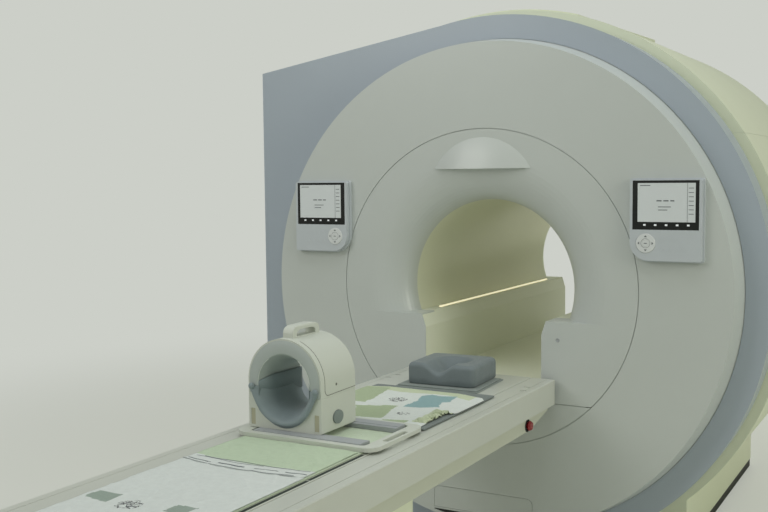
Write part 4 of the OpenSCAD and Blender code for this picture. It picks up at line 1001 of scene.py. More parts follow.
@dataclass
class ControlPanel:
    """One of the two control panels: its display, its key legends and its arrow marks."""

    side: Side
    gantry: Gantry
    face_y: float = -0.884
    inner_x: float = 0.600
    width: float = 0.268
    low_z: float = 1.166
    glass_inset: float = 0.015
    display_w: float = 0.206
    display_h: float = 0.140
    display_top: float = 1.4525
    pad_centre: Pair = (0.064, 0.069)
    thin: float = 0.0004
    arrow: Point = (0.0285, 0.0225, 0.0055)
    groove_r: float = 0.0168
    inks: tuple[tuple[str, Colour, float, float, float], ...] = (
        ("page", srgb(205, 210, 212), 0.25, 0.5, 0.12),
        ("ink", srgb(92, 98, 104), 0.3, 0.3, 0.0),
        ("icon", srgb(232, 236, 240), 0.3, 0.3, 0.25))
    lines: tuple[Station, ...] = (
        (0.33, 0.47, 0.09, 0.004), (0.45, 0.47, 0.09, 0.004), (0.57, 0.47, 0.07, 0.004),
        (0.36, 0.62, 0.22, 0.0025), (0.36, 0.70, 0.16, 0.0025), (0.04, 0.07, 0.18, 0.0025))

    def left_x(self) -> float:
        """Give the X of the panel's left edge as the viewer sees it."""
        return self.inner_x if self.side is Side.RIGHT else -self.inner_x - self.width

    def plate(self, x: float, z: float, w: float, h: float, lift: float) -> Mesh:
        """Give a thin plate on the glass, measured from the panel's left edge and lower edge.

        Args:
            x: Distance of its left edge from the panel's left edge.
            z: Height of its lower edge over the floor.
            w: Width.
            h: Height.
            lift: Distance of its back from the glass.

        Returns:
            The vertices and the faces.
        """
        left = self.left_x() + x
        return bar((left, self.face_y - lift - self.thin, z), (left + w, self.face_y - lift, z + h))

    def build(self) -> None:
        """Build the display with its generic marks, and the marks of the arrow pad and keys."""
        tag = self.side.name.lower()
        x0 = self.glass_inset + (0.019 if self.side is Side.RIGHT else 0.013)
        top, w, h = self.display_top, self.display_w, self.display_h
        page, ink, icon = (
            Moulding(f"display_{part}_{tag}", colour, rough=rough, coat=coat, glow=glow, depth=0.0).build()
            for part, colour, rough, coat, glow in self.inks
        )
        make_piece(f"{tag}_display_page", *self.plate(x0, top - h, w, h, 0.0), page, "gantry", smooth=False)
        marks = [self.plate(x0 + w * 0.86, top - h, 0.0012, h, self.thin)]
        marks += [
            self.plate(x0 + w * 0.885, top - h * (0.14 + 0.11 * i), w * 0.085, 0.0022, self.thin)
            for i in range(7)
        ]
        marks += [
            self.plate(x0 + w * x, top - h * z, w * long, tall, self.thin) for x, z, long, tall in self.lines
        ]
        make_piece(f"{tag}_display_marks", *merged(marks), ink, "gantry", smooth=False)
        low = top - h - 0.014
        icons = [self.plate(x0 + w * (0.1 + 0.19 * i), low, 0.009, 0.006, 0.0) for i in range(5)]
        make_piece(f"{tag}_display_icons", *merged(icons), icon, "gantry", smooth=False)
        self.build_pad_marks(tag, ink)

    def build_pad_marks(self, tag: str, ink: bpy.types.Material) -> None:
        """Build the four arrows, the groove and the centre dash of the arrow pad.

        Args:
            tag: Left or right.
            ink: The marks' material.
        """
        sign = self.side.value
        cx = sign * (self.inner_x + self.pad_centre[0])
        cz = self.low_z + self.pad_centre[1]
        y = self.face_y - 0.0025
        parts = []
        tip, foot, half = self.arrow
        for k in range(4):
            (ox, oz), (ax, az) = polar(1.0, 90 * k), polar(1.0, 90 * k + 90)
            shape = [
                (cx + ox * tip, cz + oz * tip),
                (cx + ox * foot + ax * half, cz + oz * foot + az * half),
                (cx + ox * foot - ax * half, cz + oz * foot - az * half),
            ]
            points = [(x, y, z) for x, z in shape] + [(x, y - self.thin, z) for x, z in shape]
            parts.append((points, [[0, 1, 4, 3], [1, 2, 5, 4], [2, 0, 3, 5], [3, 4, 5], [2, 1, 0]]))
        make_piece(f"{tag}_pad_arrows", *merged(parts), ink, f"{tag}_pad", smooth=False)
        dash = bar((cx - half, y - 0.0012, cz - 0.0012), (cx + half, y - 0.0005, cz + 0.0012))
        make_piece(f"{tag}_centre_mark", *dash, ink, f"{tag}_centre", smooth=False)
        turns = (polar(self.groove_r, 360 * k / 64) for k in range(65))
        groove = [(cx + x, y + 0.0001, cz + z) for x, z in turns]
        make_piece(f"{tag}_pad_groove", *tube(groove, 0.0006, 6), ink, f"{tag}_pad")


@dataclass
class PatientTable:
    """Small fittings of the table that the photograph shows."""

    gantry: Gantry
    stop_x: float = 0.292
    stop_y: float = -1.095
    stop_z: float = 0.568
    socket_x: float = 0.272
    socket_y: float = -1.051
    socket_step: Pair = (0.010, -0.063)
    socket_size: Pair = (0.0256, 0.0076)
    socket_z: float = 0.6962
    collar: tuple[Pair, ...] = (
        (0.0125, -0.0005), (0.0238, -0.0005), (0.0238, 0.0014), (0.0222, 0.0028), (0.0204, 0.0024),
        (0.0196, 0.0004), (0.0125, 0.0004))
    screw_x: tuple[float, ...] = (-0.27, -0.09, 0.09, 0.27)
    cap_past: float = 0.005

    def build(self) -> None:
        """Build the collars of the two stop buttons, the screws of the foot cap and the sockets' floors."""
        steps, last = 48, len(self.collar) - 1
        for side in Side:
            points, faces = lathe(self.collar, steps)
            faces = faces[:-2] + [
                [last * steps + i, last * steps + (i + 1) % steps, (i + 1) % steps, i] for i in range(steps)
            ]
            place = stood((side.value * self.stop_x, self.stop_y, self.stop_z), "Y", 90 * side.value)
            name = f"stop_collar_{side.name.lower()}"
            make_piece(name, moved(points, place), faces, self.gantry.finishes[Finish.DARK], "table")
        self.build_screws()
        self.build_socket_floors()

    def build_screws(self) -> None:
        """Build the flat screws of the foot end cap."""
        low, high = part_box("side_rails")
        parts = []
        for x in self.screw_x:
            head = lathe([(0.0, 0.0), (0.0045, 0.0), (0.0040, 0.0006), (0.0, 0.0007)], 24)
            place = stood((x, low.y - self.cap_past, (low.z + high.z) / 2), "X", 90)
            parts.append((moved(head[0], place), head[1]))
        make_piece("end_cap_screws", *merged(parts), self.gantry.finishes[Finish.STEEL], "table")

    def build_socket_floors(self) -> None:
        """Build the dark floors of the four sockets in the rim."""
        parts = []
        width, length = self.socket_size
        for side in Side:
            for i in range(2):
                x = side.value * (self.socket_x + i * self.socket_step[0])
                y = self.socket_y + i * self.socket_step[1]
                low = (x - width / 2, y - length / 2, self.socket_z)
                parts.append(bar(low, (x + width / 2, y + length / 2, self.socket_z + 0.0015)))
        make_piece("socket_floors", *merged(parts), self.gantry.finishes[Finish.DARK], "table", smooth=False)


def loft(stations: Sequence[Station], lower: bool, steps: int, leg: float = 0.12) -> Mesh:
    """Join arcs in planes across Y into one closed solid.

    Args:
        stations: Radius, Y, height of the arc's centre and height of its ends, round the solid's section.
        lower: True for arcs that hang below their centre, False for arches with straight legs.
        steps: Steps along each arc.
        leg: Share of the steps that each straight leg takes.

    Returns:
        The vertices and the faces, about X = 0.
    """
    points: list[Point] = []
    for k in range(steps + 1):
        share = k / steps
        for radius, y, centre, end in stations:
            if lower:
                start = math.asin(min(1.0, max(-1.0, (centre - end) / radius)))
                angle = math.pi + start + (math.pi - 2 * start) * share
                points.append((radius * math.cos(angle), y, centre + radius * math.sin(angle)))
                continue
            if share < leg or share > 1 - leg:
                rise = min(share, 1 - share) / leg
                x = radius if share < 0.5 else -radius
                points.append((x, y, end + (centre - end) * rise))
            else:
                angle = math.pi * (share - leg) / (1 - 2 * leg)
                points.append((radius * math.cos(angle), y, centre + radius * math.sin(angle)))
    return points, ring_faces(len(stations), steps + 1, capped=True)


@dataclass
class KneeCoil:
    """The knee coil's foam scoop, its face, seams and small details."""

    centre_x: float = -0.098
    shell_half: float = 0.132
    dome_z: float = 0.8706
    arch_z: float = 0.8606
    arch_r: float = 0.0945
    cavity_r: float = 0.0985
    lip_r: float = 0.1145
    lip_z: float = 0.852
    throat_r: float = 0.0705
    bell_deep: float = 0.10
    wall_top: Pair = (0.866, 0.884)
    slope: tuple[Point, ...] = (
        (-0.0112, 0.1070, 0.8520), (-0.0095, 0.1030, 0.8520), (-0.0060, 0.0980, 0.8515),
        (-0.0020, 0.0935, 0.8490), (0.0020, 0.0895, 0.8465), (0.0080, 0.0845, 0.8440),
        (0.0140, 0.0800, 0.8420), (0.0260, 0.0725, 0.8390), (0.0400, 0.0665, 0.8380),
        (0.0600, 0.0625, 0.8380), (0.0850, 0.0605, 0.8380), (0.1400, 0.0600, 0.8380))
    front: tuple[Pair, ...] = (
        (0.0015, 0.0025), (0.0, 0.0045), (0.0, 0.0065), (0.0012, 0.0088), (0.0040, 0.0105))
    flare: float = 0.10
    flare_z: float = 0.075
    ear: Pair = (0.0104, 0.0066)
    ear_at: Point = (0.0095, 0.0086, 0.001)
    split_gap: float = 0.0006
    bell_r: float = 0.1172
    rim_r: float = 0.1270
    # Distance past the mouth and radius of the pale tube that paints a highlight on the mouth's edge.
    highlight_tube: Pair = (0.0002, 0.0011)
    seam_back: float = 0.022
    seam_rise: float = 0.024
    seam_bend: float = 0.018
    cover_at: Pair = (0.085, 0.032)
    # Offset and half width, depth range and height range of the recess floors, which carry painted shade.
    recess_shade: Pair = (0.116, 0.0078)
    recess_shade_y: Pair = (0.0010, 0.0019)
    recess_shade_z: Pair = (0.0082, 0.0578)

    def __post_init__(self) -> None:
        """Read the shells' places from the frame."""
        self.low, self.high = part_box("coil_lower_shell")
        self.split = self.high.z + 0.0003

    def build(self) -> None:
        """Build the scoop, the face with its bell, the seams and the screw cover."""
        self.build_scoop()
        self.build_face()
        self.build_seams()
        self.build_recesses()

    def bell(self, deep: float) -> float:
        """Give the radius of the bell's inside at a depth behind the face.

        Args:
            deep: Distance behind the face in metres.

        Returns:
            The radius in metres.
        """
        return self.throat_r + (self.arch_r - self.throat_r) * (1 - unit(deep / self.bell_deep)) ** 2.2

    def placed(self, mesh: Mesh) -> Mesh:
        """Move a loft from X = 0 to the coil's axis."""
        return [(x + self.centre_x, y, z) for x, y, z in mesh[0]], mesh[1]

    def build_scoop(self) -> None:
        """Build the lower pad: its bowl with the front lip, its round ears and its side walls."""
        y0, y1 = self.low.y, self.high.y
        low_z = self.split - self.split_gap
        bowl: list[Station] = [(self.cavity_r, y, low_z, low_z) for y in (y1 - 0.002, y0 - 0.0022)]
        bowl += [(self.lip_r - inset, y0 - ahead, self.lip_z, self.lip_z) for inset, ahead in self.front]
        for deep, radius, centre in self.slope:
            bowl.append((radius, y0 + deep, centre, self.lip_z if deep < 0 else centre))
        bowl += [(0.062, y1 - 0.012, low_z, low_z), (0.070, y1 - 0.0025, low_z, low_z)]
        points, faces = loft(bowl, lower=True, steps=88)
        shaped: list[Point] = []
        for x, y, z in points:
            near = max(0.0, (z - self.lip_z + self.flare_z) / self.flare_z)
            if y < y0 - 0.002:
                x *= 1 + self.flare * near * near
                z += 0.004 * math.sin(math.pi * near) if z > self.lip_z - 0.07 else 0.0
            shaped.append((x, y, z))
        ears = []
        wide, thick = self.ear
        curve = [
            (wide * math.sin(math.radians(a)), thick * math.cos(math.radians(a))) for a in range(20, 180, 20)
        ]
        knob, knob_faces = lathe([(0.0, thick), *curve, (0.0, -thick)], 28)
        back, ahead, under = self.ear_at
        for side in Side:
            spot = (side.value * (self.lip_r - back) * (1 + self.flare), y0 - ahead, self.lip_z - under)
            ears.append((moved(knob, stood(spot, "X", 90)), knob_faces))
        foam = Foam("scoop_foam", srgb(142, 155, 160), pores=900.0, depth=0.0001, sheen=0.2).build()
        mesh = self.placed(merged([(shaped, faces), *ears, *self.walls(y0, y1)]))
        made = make_piece("knee_scoop", *mesh, foam, "coil_lower", replaces=["coil_lower_pad"],
                          slot="grey_foam")

    def walls(self, y0: float, y1: float) -> list[Mesh]:
        """Give the scoop's upright side walls, which stand inside the arch.

        Args:
            y0: The coil's front.
            y1: The coil's back.

        Returns:
            One mesh for each side.
        """
        parts = []
        inner = [(deep, radius) for deep, radius, _ in self.slope]
        count, first, last = 30, -0.003, y1 - y0 - 0.008
        for side in Side:
            points: list[Point] = []
            for k in range(count + 1):
                deep = first + (last - first) * (k / count) ** 1.4
                top = along(k, [(0, self.wall_top[0]), (12, self.wall_top[1])])
                bell = self.bell(max(0.0, deep))
                outer = min(bell, math.sqrt(bell**2 - (top - self.arch_z) ** 2)) - 0.0008
                near = min(along(deep, inner), outer - 0.003)
                section = ((near, self.split - 0.012), (near, top - 0.006), (near + 0.0008, top - 0.0022),
                           (near + 0.0018, top - 0.0004), (outer - 0.0006, top), (outer, top - 0.0008),
                           (outer, self.split - self.split_gap))
                points += [(side.value * x, y0 + deep, z) for x, z in section]
            parts.append((points, ring_faces(len(section), count + 1, capped=True)))
        return parts

    def build_face(self) -> None:
        """Build the upper half's flat grey face with the bell behind it, in the place of its liner."""
        y0, y1 = self.low.y, self.high.y
        end = self.split + self.split_gap
        dome, arch = self.dome_z, self.arch_z
        back, rim, mouth = self.bell_r, self.rim_r, self.arch_r
        behind = [(back, y1 - 0.005), (back, y0 + 0.001), (back, y0 - 0.0003),
                  (rim - 0.0008, y0 - 0.0003), (rim, y0 - 0.0008), (rim - 0.0008, y0 - 0.0014)]
        inner = [(mouth + 0.003, y0 - 0.0014), (mouth + 0.001, y0 - 0.0008), (mouth, y0 + 0.0008)]
        inner += [(self.bell(deep), y0 + deep) for deep in (0.118 * (k / 11) ** 1.2 for k in range(1, 12))]
        inner += [(self.bell(1.0), y1 - 0.012), (self.bell(1.0) + 0.005, y1 - 0.005)]
        stations = [(r, y, dome, end) for r, y in behind] + [(r, y, arch, end) for r, y in inner]
        face = Moulding("coil_face", srgb(178, 186, 184), rough=0.5, coat=0.0, grain=1300.0).build()
        mesh = self.placed(loft(stations, lower=False, steps=72))
        make_piece("coil_face_bell", *mesh, face, "coil_upper", replaces=["coil_upper_liner"],
                   slot="grey_plastic")
        # A thin pale tube along the mouth's edge: a painted highlight of the light on the edge's bevel.
        pale = Moulding("coil_bead", srgb(214, 220, 214), rough=0.4, coat=0.0).build()
        past, thick = self.highlight_tube
        parts = []
        for side in Side:
            turns = (polar(mouth + past, a) for a in range(-4, 58, 3))
            line = [(self.centre_x + side.value * x, y0 - 0.0016, arch + z) for x, z in turns]
            parts.append(tube(line, thick, 8))
        make_piece("coil_mouth_bead", *merged(parts), pale, "coil_upper", slot="grey_plastic")

    def build_seams(self) -> None:
        """Build the groove behind the front rim, its run to the back, and the screw cover."""
        dark = Moulding("seam_shadow", srgb(104, 106, 98), rough=0.7, coat=0.0).build()
        y, last_z = self.low.y + self.seam_back, self.split + self.seam_rise
        arc = [polar(self.shell_half, 90 - a) for a in range(20, 91, 5)]
        down = [(x, self.dome_z + z) for x, z in arc]
        down += [(self.shell_half, (self.dome_z + self.split) / 2), (self.shell_half, last_z)]
        for side in Side:
            path = [(self.centre_x + side.value * (x + 0.0001), y, z) for x, z in down]
            for k in range(1, 7):
                x, z = polar(self.seam_bend, 15 * k)
                path.append((path[-1][0], y + self.seam_bend - x, last_z - z))
            path.append((path[-1][0], self.high.y - 0.001, last_z - 0.016))
            make_piece(f"coil_seam_{side.name.lower()}", *tube(path, 0.0009, 6), dark, "coil_upper")
        knob = lathe([(0.0, 0.0), (0.0042, 0.0), (0.0040, 0.0007), (0.0, 0.0008)], 24)
        back, rise = self.cover_at
        spot = (self.centre_x + self.shell_half, self.low.y + back, self.split + rise)
        make_piece("coil_screw_cover", moved(knob[0], stood(spot, "Y", 90)), knob[1], dark, "coil_upper")

    def build_recesses(self) -> None:
        """Build the floors of the recesses at the lower corners of the coil's front, darker with painted
        shade.
        """
        recess_shade = Moulding("coil_inlay", srgb(182, 180, 156), rough=0.5, coat=0.0).build()
        parts = []
        (across, half), (y0, y1), (z0, z1) = self.recess_shade, self.recess_shade_y, self.recess_shade_z
        for side in Side:
            x = self.centre_x + side.value * across
            low = (x - half, self.low.y + y0, self.low.z + z0)
            parts.append(bar(low, (x + half, self.low.y + y1, self.low.z + z1), 0.0003))
        make_piece("coil_front_inlays", *merged(parts), recess_shade, "coil_lower", smooth=False)


@dataclass
class HeadCushion:
    """The grey foam head cushion with its hollow and wavy front."""

    width: float = 0.270
    length: float = 0.250
    height: float = 0.082
    corner: float = 0.020
    edge: float = 0.016
    turn: float = 3.0
    bowl_at: Pair = (0.010, -0.014)
    bowl_size: Pair = (0.082, 0.074)
    bowl_deep: float = 0.044
    dip_at: float = -0.008
    dip_half: float = 0.068
    dip_deep: float = 0.034

    def top(self, x: float, y: float) -> float:
        """Give the foam's height over a point: an oval bowl that runs out in a dip at the front.

        Args:
            x: Place across the cushion.
            y: Place along it.

        Returns:
            The height in metres.
        """
        (cx, cy), (rx, ry) = self.bowl_at, self.bowl_size
        bowl = self.bowl_deep * hump(min(1.0, math.hypot((x - cx) / rx, (y - cy) / ry))) ** 0.85
        across = min(1.0, abs(x - self.dip_at) / self.dip_half)
        ahead = unit((0.01 - y) / 0.07)
        dip = self.dip_deep * hump(across) * eased(ahead)
        crown = 0.003 * math.cos(math.pi * x / self.width) * math.cos(math.pi * y / self.length)
        return self.height - 0.004 + crown - (bowl**3 + dip**3) ** (1 / 3)

    def build(self) -> None:
        """Build the cushion in the place of its CAD solid."""
        low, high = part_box("head_cushion")
        loop = rounded_loop(self.width - 0.003, self.length - 0.003, self.corner, 9, 30)
        points, faces = slab_points(loop, (self.width, self.length), self.edge, self.top, rings=34)
        spot = ((low.x + high.x) / 2, (low.y + high.y) / 2, low.z)
        foam = Foam("cushion_foam", srgb(124, 134, 138)).build()
        points = moved(points, stood(spot, "Z", self.turn))
        made = make_piece("cushion_foam_block", points, faces, foam, "cradle", replaces=["head_cushion"],
                          slot="grey_foam")


@dataclass
class Mats:
    """The thin foam mats and the mattress of the cradle."""

    wave: float = 0.0008
    fold_size: Pair = (0.330, 0.275)
    fold_turn: float = 3.0
    fold_step: float = 0.007

    def pad(self, size: Pair, thick: float, corner: float, edge: float) -> Mesh:
        """Give one thin pad about the origin.

        Args:
            size: Its width and length.
            thick: Its thickness.
            corner: Corner radius.
            edge: Radius of its top edge.

        Returns:
            The vertices and the faces.
        """

        def top(x: float, y: float) -> float:
            """Give the height of the pad's slightly uneven top."""
            return thick - self.wave + self.wave * noise.noise(Vector((x * 9, y * 9, thick * 50)))

        loop = rounded_loop(*size, corner, 5, max(12, int(size[1] / 0.03)))
        return slab_points(loop, size, edge, top, rings=10)

    def slab(self, name: str, node: str, material: bpy.types.Material, corner: float, slot: str) -> None:
        """Build one thin pad in the place of its CAD solid.

        Args:
            name: The piece's name.
            node: The CAD node that it stands for.
            material: The pad's material.
            corner: Corner radius.
            slot: The record's material slot.
        """
        low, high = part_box(node)
        points, faces = self.pad((high.x - low.x, high.y - low.y), high.z - low.z, corner, 0.0012)
        place = Matrix.Translation(((low.x + high.x) / 2, (low.y + high.y) / 2, low.z))
        made = make_piece(name, moved(points, place), faces, material, "cradle", replaces=[node], slot=slot)

    def folded(self, foam: bpy.types.Material) -> None:
        """Build the folded mat under the cushion, with its two layers.

        Args:
            foam: The mat's foam.
        """
        low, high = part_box("mat_upper")
        thick = (high.z - low.z) / 2
        spot = Vector(((low.x + high.x) / 2, (low.y + high.y) / 2, low.z))
        parts = []
        for layer in range(2):
            size = tuple(s - 2 * layer * self.fold_step for s in self.fold_size)
            points, faces = self.pad(size, thick, 0.006, 0.0014)
            place = stood(spot + Vector((0, 0, layer * thick)), "Z", self.fold_turn)
            parts.append((moved(points, place), faces))
        made = make_piece("mat_upper_foam", *merged(parts), foam, "cradle", replaces=["mat_upper"],
                          slot="grey_foam")

    def build(self) -> None:
        """Build the mattress and both mats."""
        cover = Cotton("mattress_cotton", srgb(206, 220, 196)).build()
        grey = Foam("mat_foam", srgb(122, 131, 130), pores=500.0).build()
        pale = Foam("folded_mat_foam", srgb(140, 149, 146), pores=500.0).build()
        self.slab("mattress_pad", "mattress", cover, 0.02, "sheet_fabric")
        self.slab("mat_lower_foam", "mat_lower", grey, 0.006, "grey_foam")
        self.folded(pale)


def inside(x: float, y: float, outline: Sequence[Pair]) -> bool:
    """Tell whether a point lies in an outline.

    Args:
        x: Its X.
        y: Its Y.
        outline: The outline's corners.

    Returns:
        True if it does.
    """
    found = False
    for k, (x1, y1) in enumerate(outline):
        x0, y0 = outline[k - 1]
        if (y0 > y) != (y1 > y) and x < x0 + (x1 - x0) * (y - y0) / (y1 - y0):
            found = not found
    return found


@dataclass
class Sheets:
    """The sheets on the cradle: a printed front sheet, a green towel and the gathered draw sheet."""

    thick: float = 0.0008
    draw_right: float = 0.2195
    pitch: float = 0.0145
    ruffle_high: float = 0.015
    flare_y: Pair = (-1.62, -1.55)
    frames: int = 12
    front_spots: tuple[Point, Point] = ((-0.045, -2.800, 0), (0.020, -2.960, 0))
    draw_spots: tuple[Point, Point] = ((-0.030, -1.495, 0), (0.088, -1.672, 0))
    towel_lines: tuple[tuple[float, ...], ...] = (
        (0.006, 0.000, 0.00, 0.93, 0.0030), (0.052, 0.004, 0.02, 0.24, 0.0045),
        (0.070, 0.005, 0.30, 0.52, 0.0060), (0.078, 0.005, 0.60, 0.78, 0.0050),
        (0.085, 0.004, 0.83, 0.99, 0.0040), (0.190, 0.010, 0.10, 0.97, 0.0026),
        (0.165, 0.008, 0.04, 0.62, 0.0018))
    far_edge: tuple[Pair, ...] = (
        (-0.243, -1.340), (-0.160, -1.314), (0.1215, -1.314), (0.223, -1.346), (0.243, -1.376))
    ruffles: Pair = (-1.765, -1.600)
    front_patches: tuple[tuple[Pair, ...], ...] = (
        ((-0.190, -2.800), (-0.186, -2.752), (-0.110, -2.748), (-0.112, -2.812)),
        ((0.060, -2.800), (0.064, -2.750), (0.120, -2.744), (0.118, -2.806)),
        ((-0.150, -3.030), (-0.140, -2.940), (-0.010, -2.930), (-0.020, -3.020)),
        ((0.060, -3.180), (0.070, -3.060), (0.180, -3.050), (0.176, -3.190)),
    )
    green_patches: tuple[tuple[Pair, ...], ...] = (
        ((-0.250, -1.345), (-0.150, -1.331), (-0.116, -1.509), (-0.115, -1.582), (-0.250, -1.582)),
        ((-0.115, -1.636), (0.010, -1.590), (0.060, -1.762), (-0.036, -1.780)),
        ((0.070, -1.775), (0.150, -1.749), (0.155, -1.820), (0.060, -1.820)),
        ((-0.030, -1.592), (0.019, -1.582), (0.028, -1.642), (-0.030, -1.640)),
    )
    teal_patches: tuple[tuple[Pair, ...], ...] = (
        ((0.038, -1.586), (0.040, -1.478), (0.017, -1.406), (0.042, -1.372), (0.078, -1.382), (0.136, -1.362),
         (0.149, -1.450), (0.129, -1.473), (0.151, -1.541), (0.096, -1.575)),
        ((-0.243, -1.790), (-0.120, -1.792), (-0.110, -1.720), (-0.243, -1.700)),
    )

    def wrinkle(self, x: float, y: float, seed: float, amount: float) -> float:
        """Give the height of soft creases at a point.

        Args:
            x: Place across.
            y: Place along.
            seed: Makes each sheet's creases its own.
            amount: The creases' height.

        Returns:
            The height in metres.
        """
        slow = noise.noise(Vector((x * 7 + seed, y * 4, seed)))
        ridge = 1 - abs(noise.noise(Vector((x * 13 + y * 6, y * 11 - x * 3, seed + 4))))
        return amount * (0.5 + 0.5 * slow) * ridge**5

    def dye(self, obj: bpy.types.Object, prints: Sequence[Print]) -> None:
        """Give the faces of a flat sheet the materials of the prints that they lie in.

        Args:
            obj: The sheet.
            prints: Each print's material and the test of whether a point is in it, the last one on top.
        """
        for number, (material, holds) in enumerate(prints, start=1):
            obj.data.materials.append(material)
            for polygon in obj.data.polygons:
                x, y, _ = polygon.center
                if holds(x + 0.006 * noise.noise(Vector((x * 40, y * 40, 3.0))), y):
                    polygon.material_index = number

    def front(self, cotton: bpy.types.Material, patch: bpy.types.Material) -> None:
        """Build the white sheet at the table's foot, with a few printed patches.

        Args:
            cotton: Its cotton.
            patch: The patches' cotton.
        """
        low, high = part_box("front_sheet")

        def surface(u: float, v: float) -> Point:
            """Give a point of the sheet.

            Args:
                u: Share of its width.
                v: Share of its length.

            Returns:
                The point.
            """
            x = low.x + (high.x - low.x) * u
            y = low.y + (high.y - low.y) * v
            return x, y, low.z + 0.0001 + self.wrinkle(x, y, 2.0, 0.0035)

        points, faces = cloth_grid(100, 200, surface)
        made = make_piece("front_sheet_cotton", points, faces, cotton, "cradle", replaces=["front_sheet"],
                          slot="sheet_fabric")
        self.dye(made, [(patch, lambda x, y: any(inside(x, y, p) for p in self.front_patches))])
        thicken(made, self.thick)

    def towel(self, cotton: bpy.types.Material, border: bpy.types.Material, ink: bpy.types.Material) -> None:
        """Build the green towel before the coil tray, with its white border and thin dark lines.

        Args:
            cotton: The towel's cotton.
            border: The border's cotton.
            ink: The lines' cotton.
        """
        low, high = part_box("towel")
        y0, y1 = low.y - 0.004, high.y
        wide = high.x - low.x - 0.003

        def at(u: float, v: float, lift: float) -> Point:
            """Give a point of the towel.

            Args:
                u: Share of its width.
                v: Share of its length.
                lift: Height over the cloth.

            Returns:
                The point.
            """
            x = low.x + 0.0015 + wide * u
            y = y0 + (y1 - y0) * v - 0.022 * math.sin(math.pi * u) * (1 - v) ** 3
            over = 0.0012 * unit((low.y + 0.012 - y) / 0.008)
            return x, y, low.z + 0.0004 + over + self.wrinkle(x, y, 7.0, 0.003) + lift

        points, faces = cloth_grid(80, 90, lambda u, v: at(u, v, 0.0))
        made = make_piece("towel_cotton", points, faces, cotton, "cradle", replaces=["towel"],
                          slot="sheet_fabric")
        bow = y0 + 0.060
        self.dye(made, [(border, lambda x, y: y < bow - 0.018 * math.sin(math.pi * (x - low.x) / wide))])
        thicken(made, self.thick)
        parts = []
        for line, row in enumerate(self.towel_lines):

            def band(u: float, v: float, line: int = line, row: tuple[float, ...] = row) -> Point:
                """Give a point of one line.

                Args:
                    u: Share of its length.
                    v: Share of its width.
                    line: The line's number.
                    row: Its start, wave, first and last place across, and width.

                Returns:
                    The point.
                """
                start, wave, first, last, width = row
                up = start + wave * math.sin(9 * u + 2 * line) + width * v / (y1 - y0)
                return at(first + (last - first) * u, up, self.thick + 0.0003)

            parts.append(cloth_grid(60, 2, band))
        lines = make_piece("towel_lines", *merged(parts), ink, "cradle", slot="sheet_fabric")
        thicken(lines, 0.0002)

    def draw(self, cotton: bpy.types.Material, prints: Sequence[bpy.types.Material]) -> None:
        """Build the draw sheet with its gathered elastic edge.

        Args:
            cotton: Its white cotton.
            prints: The cottons of its pale band, its green patches and its teal patches.
        """
        low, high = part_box("draw_sheet")
        start, stop = self.ruffles

        def surface(u: float, v: float) -> Point:
            """Give a point of the sheet: flat in the middle, ruffled at its right edge.

            Args:
                u: Share of its width.
                v: Share of its length.

            Returns:
                The point.
            """
            y = low.y + (high.y - low.y) * v
            first, last = self.flare_y
            right = self.draw_right + (high.x - self.draw_right) * eased(unit((y - first) / (last - first)))
            x = low.x + (right - low.x) * u
            y = low.y + (along(x, self.far_edge) - low.y) * v
            inner = 0.145 + 0.030 * math.sin((y - start) / (stop - start) * math.pi)
            pull = unit((x - inner) / 0.030) * unit(min(y - start, stop - y) / 0.012)
            lean = y + 0.25 * (x - 0.2) + 0.004 * noise.noise(Vector((x * 60, y * 25, 1)))
            ruffle = pull * (0.5 + 0.5 * math.sin(lean * 2 * math.pi / self.pitch))
            hem = 0.002 * unit((0.14 - u) / 0.14) * (0.5 + 0.5 * math.sin(v * 31))
            rise = self.wrinkle(x, y, 11.0, 0.005) + self.ruffle_high * ruffle + 0.002 * pull + hem
            return x, y, low.z + 0.0003 + rise

        points, faces = cloth_grid(120, 260, surface)
        made = make_piece("draw_sheet_cotton", points, faces, cotton, "cradle", replaces=["draw_sheet"],
                          slot="sheet_fabric")
        band, green, teal = prints
        self.dye(made, [
            (band, lambda x, y: y > along(x, self.far_edge) - 0.055 + 0.010 * math.sin(x * 22) and x < 0.20),
            (band, lambda x, y: start < y < stop and x > 0.165),
            (green, lambda x, y: any(inside(x, y, p) for p in self.green_patches)),
            (teal, lambda x, y: any(inside(x, y, p) for p in self.teal_patches)),
        ])
        self.settle(made, low.z)
        thicken(made, self.thick)

    def settle(self, sheet: bpy.types.Object, ground: float) -> None:
        """Let the sheet fall on the mattress as cloth, and keep the shape that it takes.

        Args:
            sheet: The sheet.
            ground: Height of the surface that it lies on.
        """
        scene = bpy.context.scene
        low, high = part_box("draw_sheet")
        reach = 0.1
        wide, long = high.x - low.x + 2 * reach, high.y - low.y + 2 * reach
        points, faces = cloth_grid(
            2, 2, lambda u, v: (low.x - reach + wide * u, low.y - reach + long * v, ground - 0.0012)
        )
        mesh = bpy.data.meshes.new("rest_plane")
        mesh.from_pydata(points, [], faces)
        plane = bpy.data.objects.new("rest_plane", mesh)
        scene.collection.objects.link(plane)
        plane.modifiers.new("rest", "COLLISION")
        plane.collision.thickness_outer = 0.001
        cloth = sheet.modifiers.new("fall", "CLOTH")
        cloth.settings.quality = 6
        cloth.settings.mass = 0.12
        cloth.settings.tension_stiffness = cloth.settings.compression_stiffness = 20
        cloth.settings.bending_stiffness = 2.0
        cloth.collision_settings.distance_min = 0.001
        cloth.point_cache.frame_start, cloth.point_cache.frame_end = 1, self.frames
        for frame in range(1, self.frames + 1):
            scene.frame_set(frame)
        apply_modifiers(sheet)
        scene.frame_set(1)
        bpy.data.objects.remove(plane)
        bottom = min(v.co.z for v in sheet.data.vertices)
        for v in sheet.data.vertices:
            v.co.x = min(max(v.co.x, low.x), high.x)
            v.co.y = min(max(v.co.y, low.y - 0.003), high.y + 0.003)
            v.co.z += max(0.0, ground - bottom) * 0.5

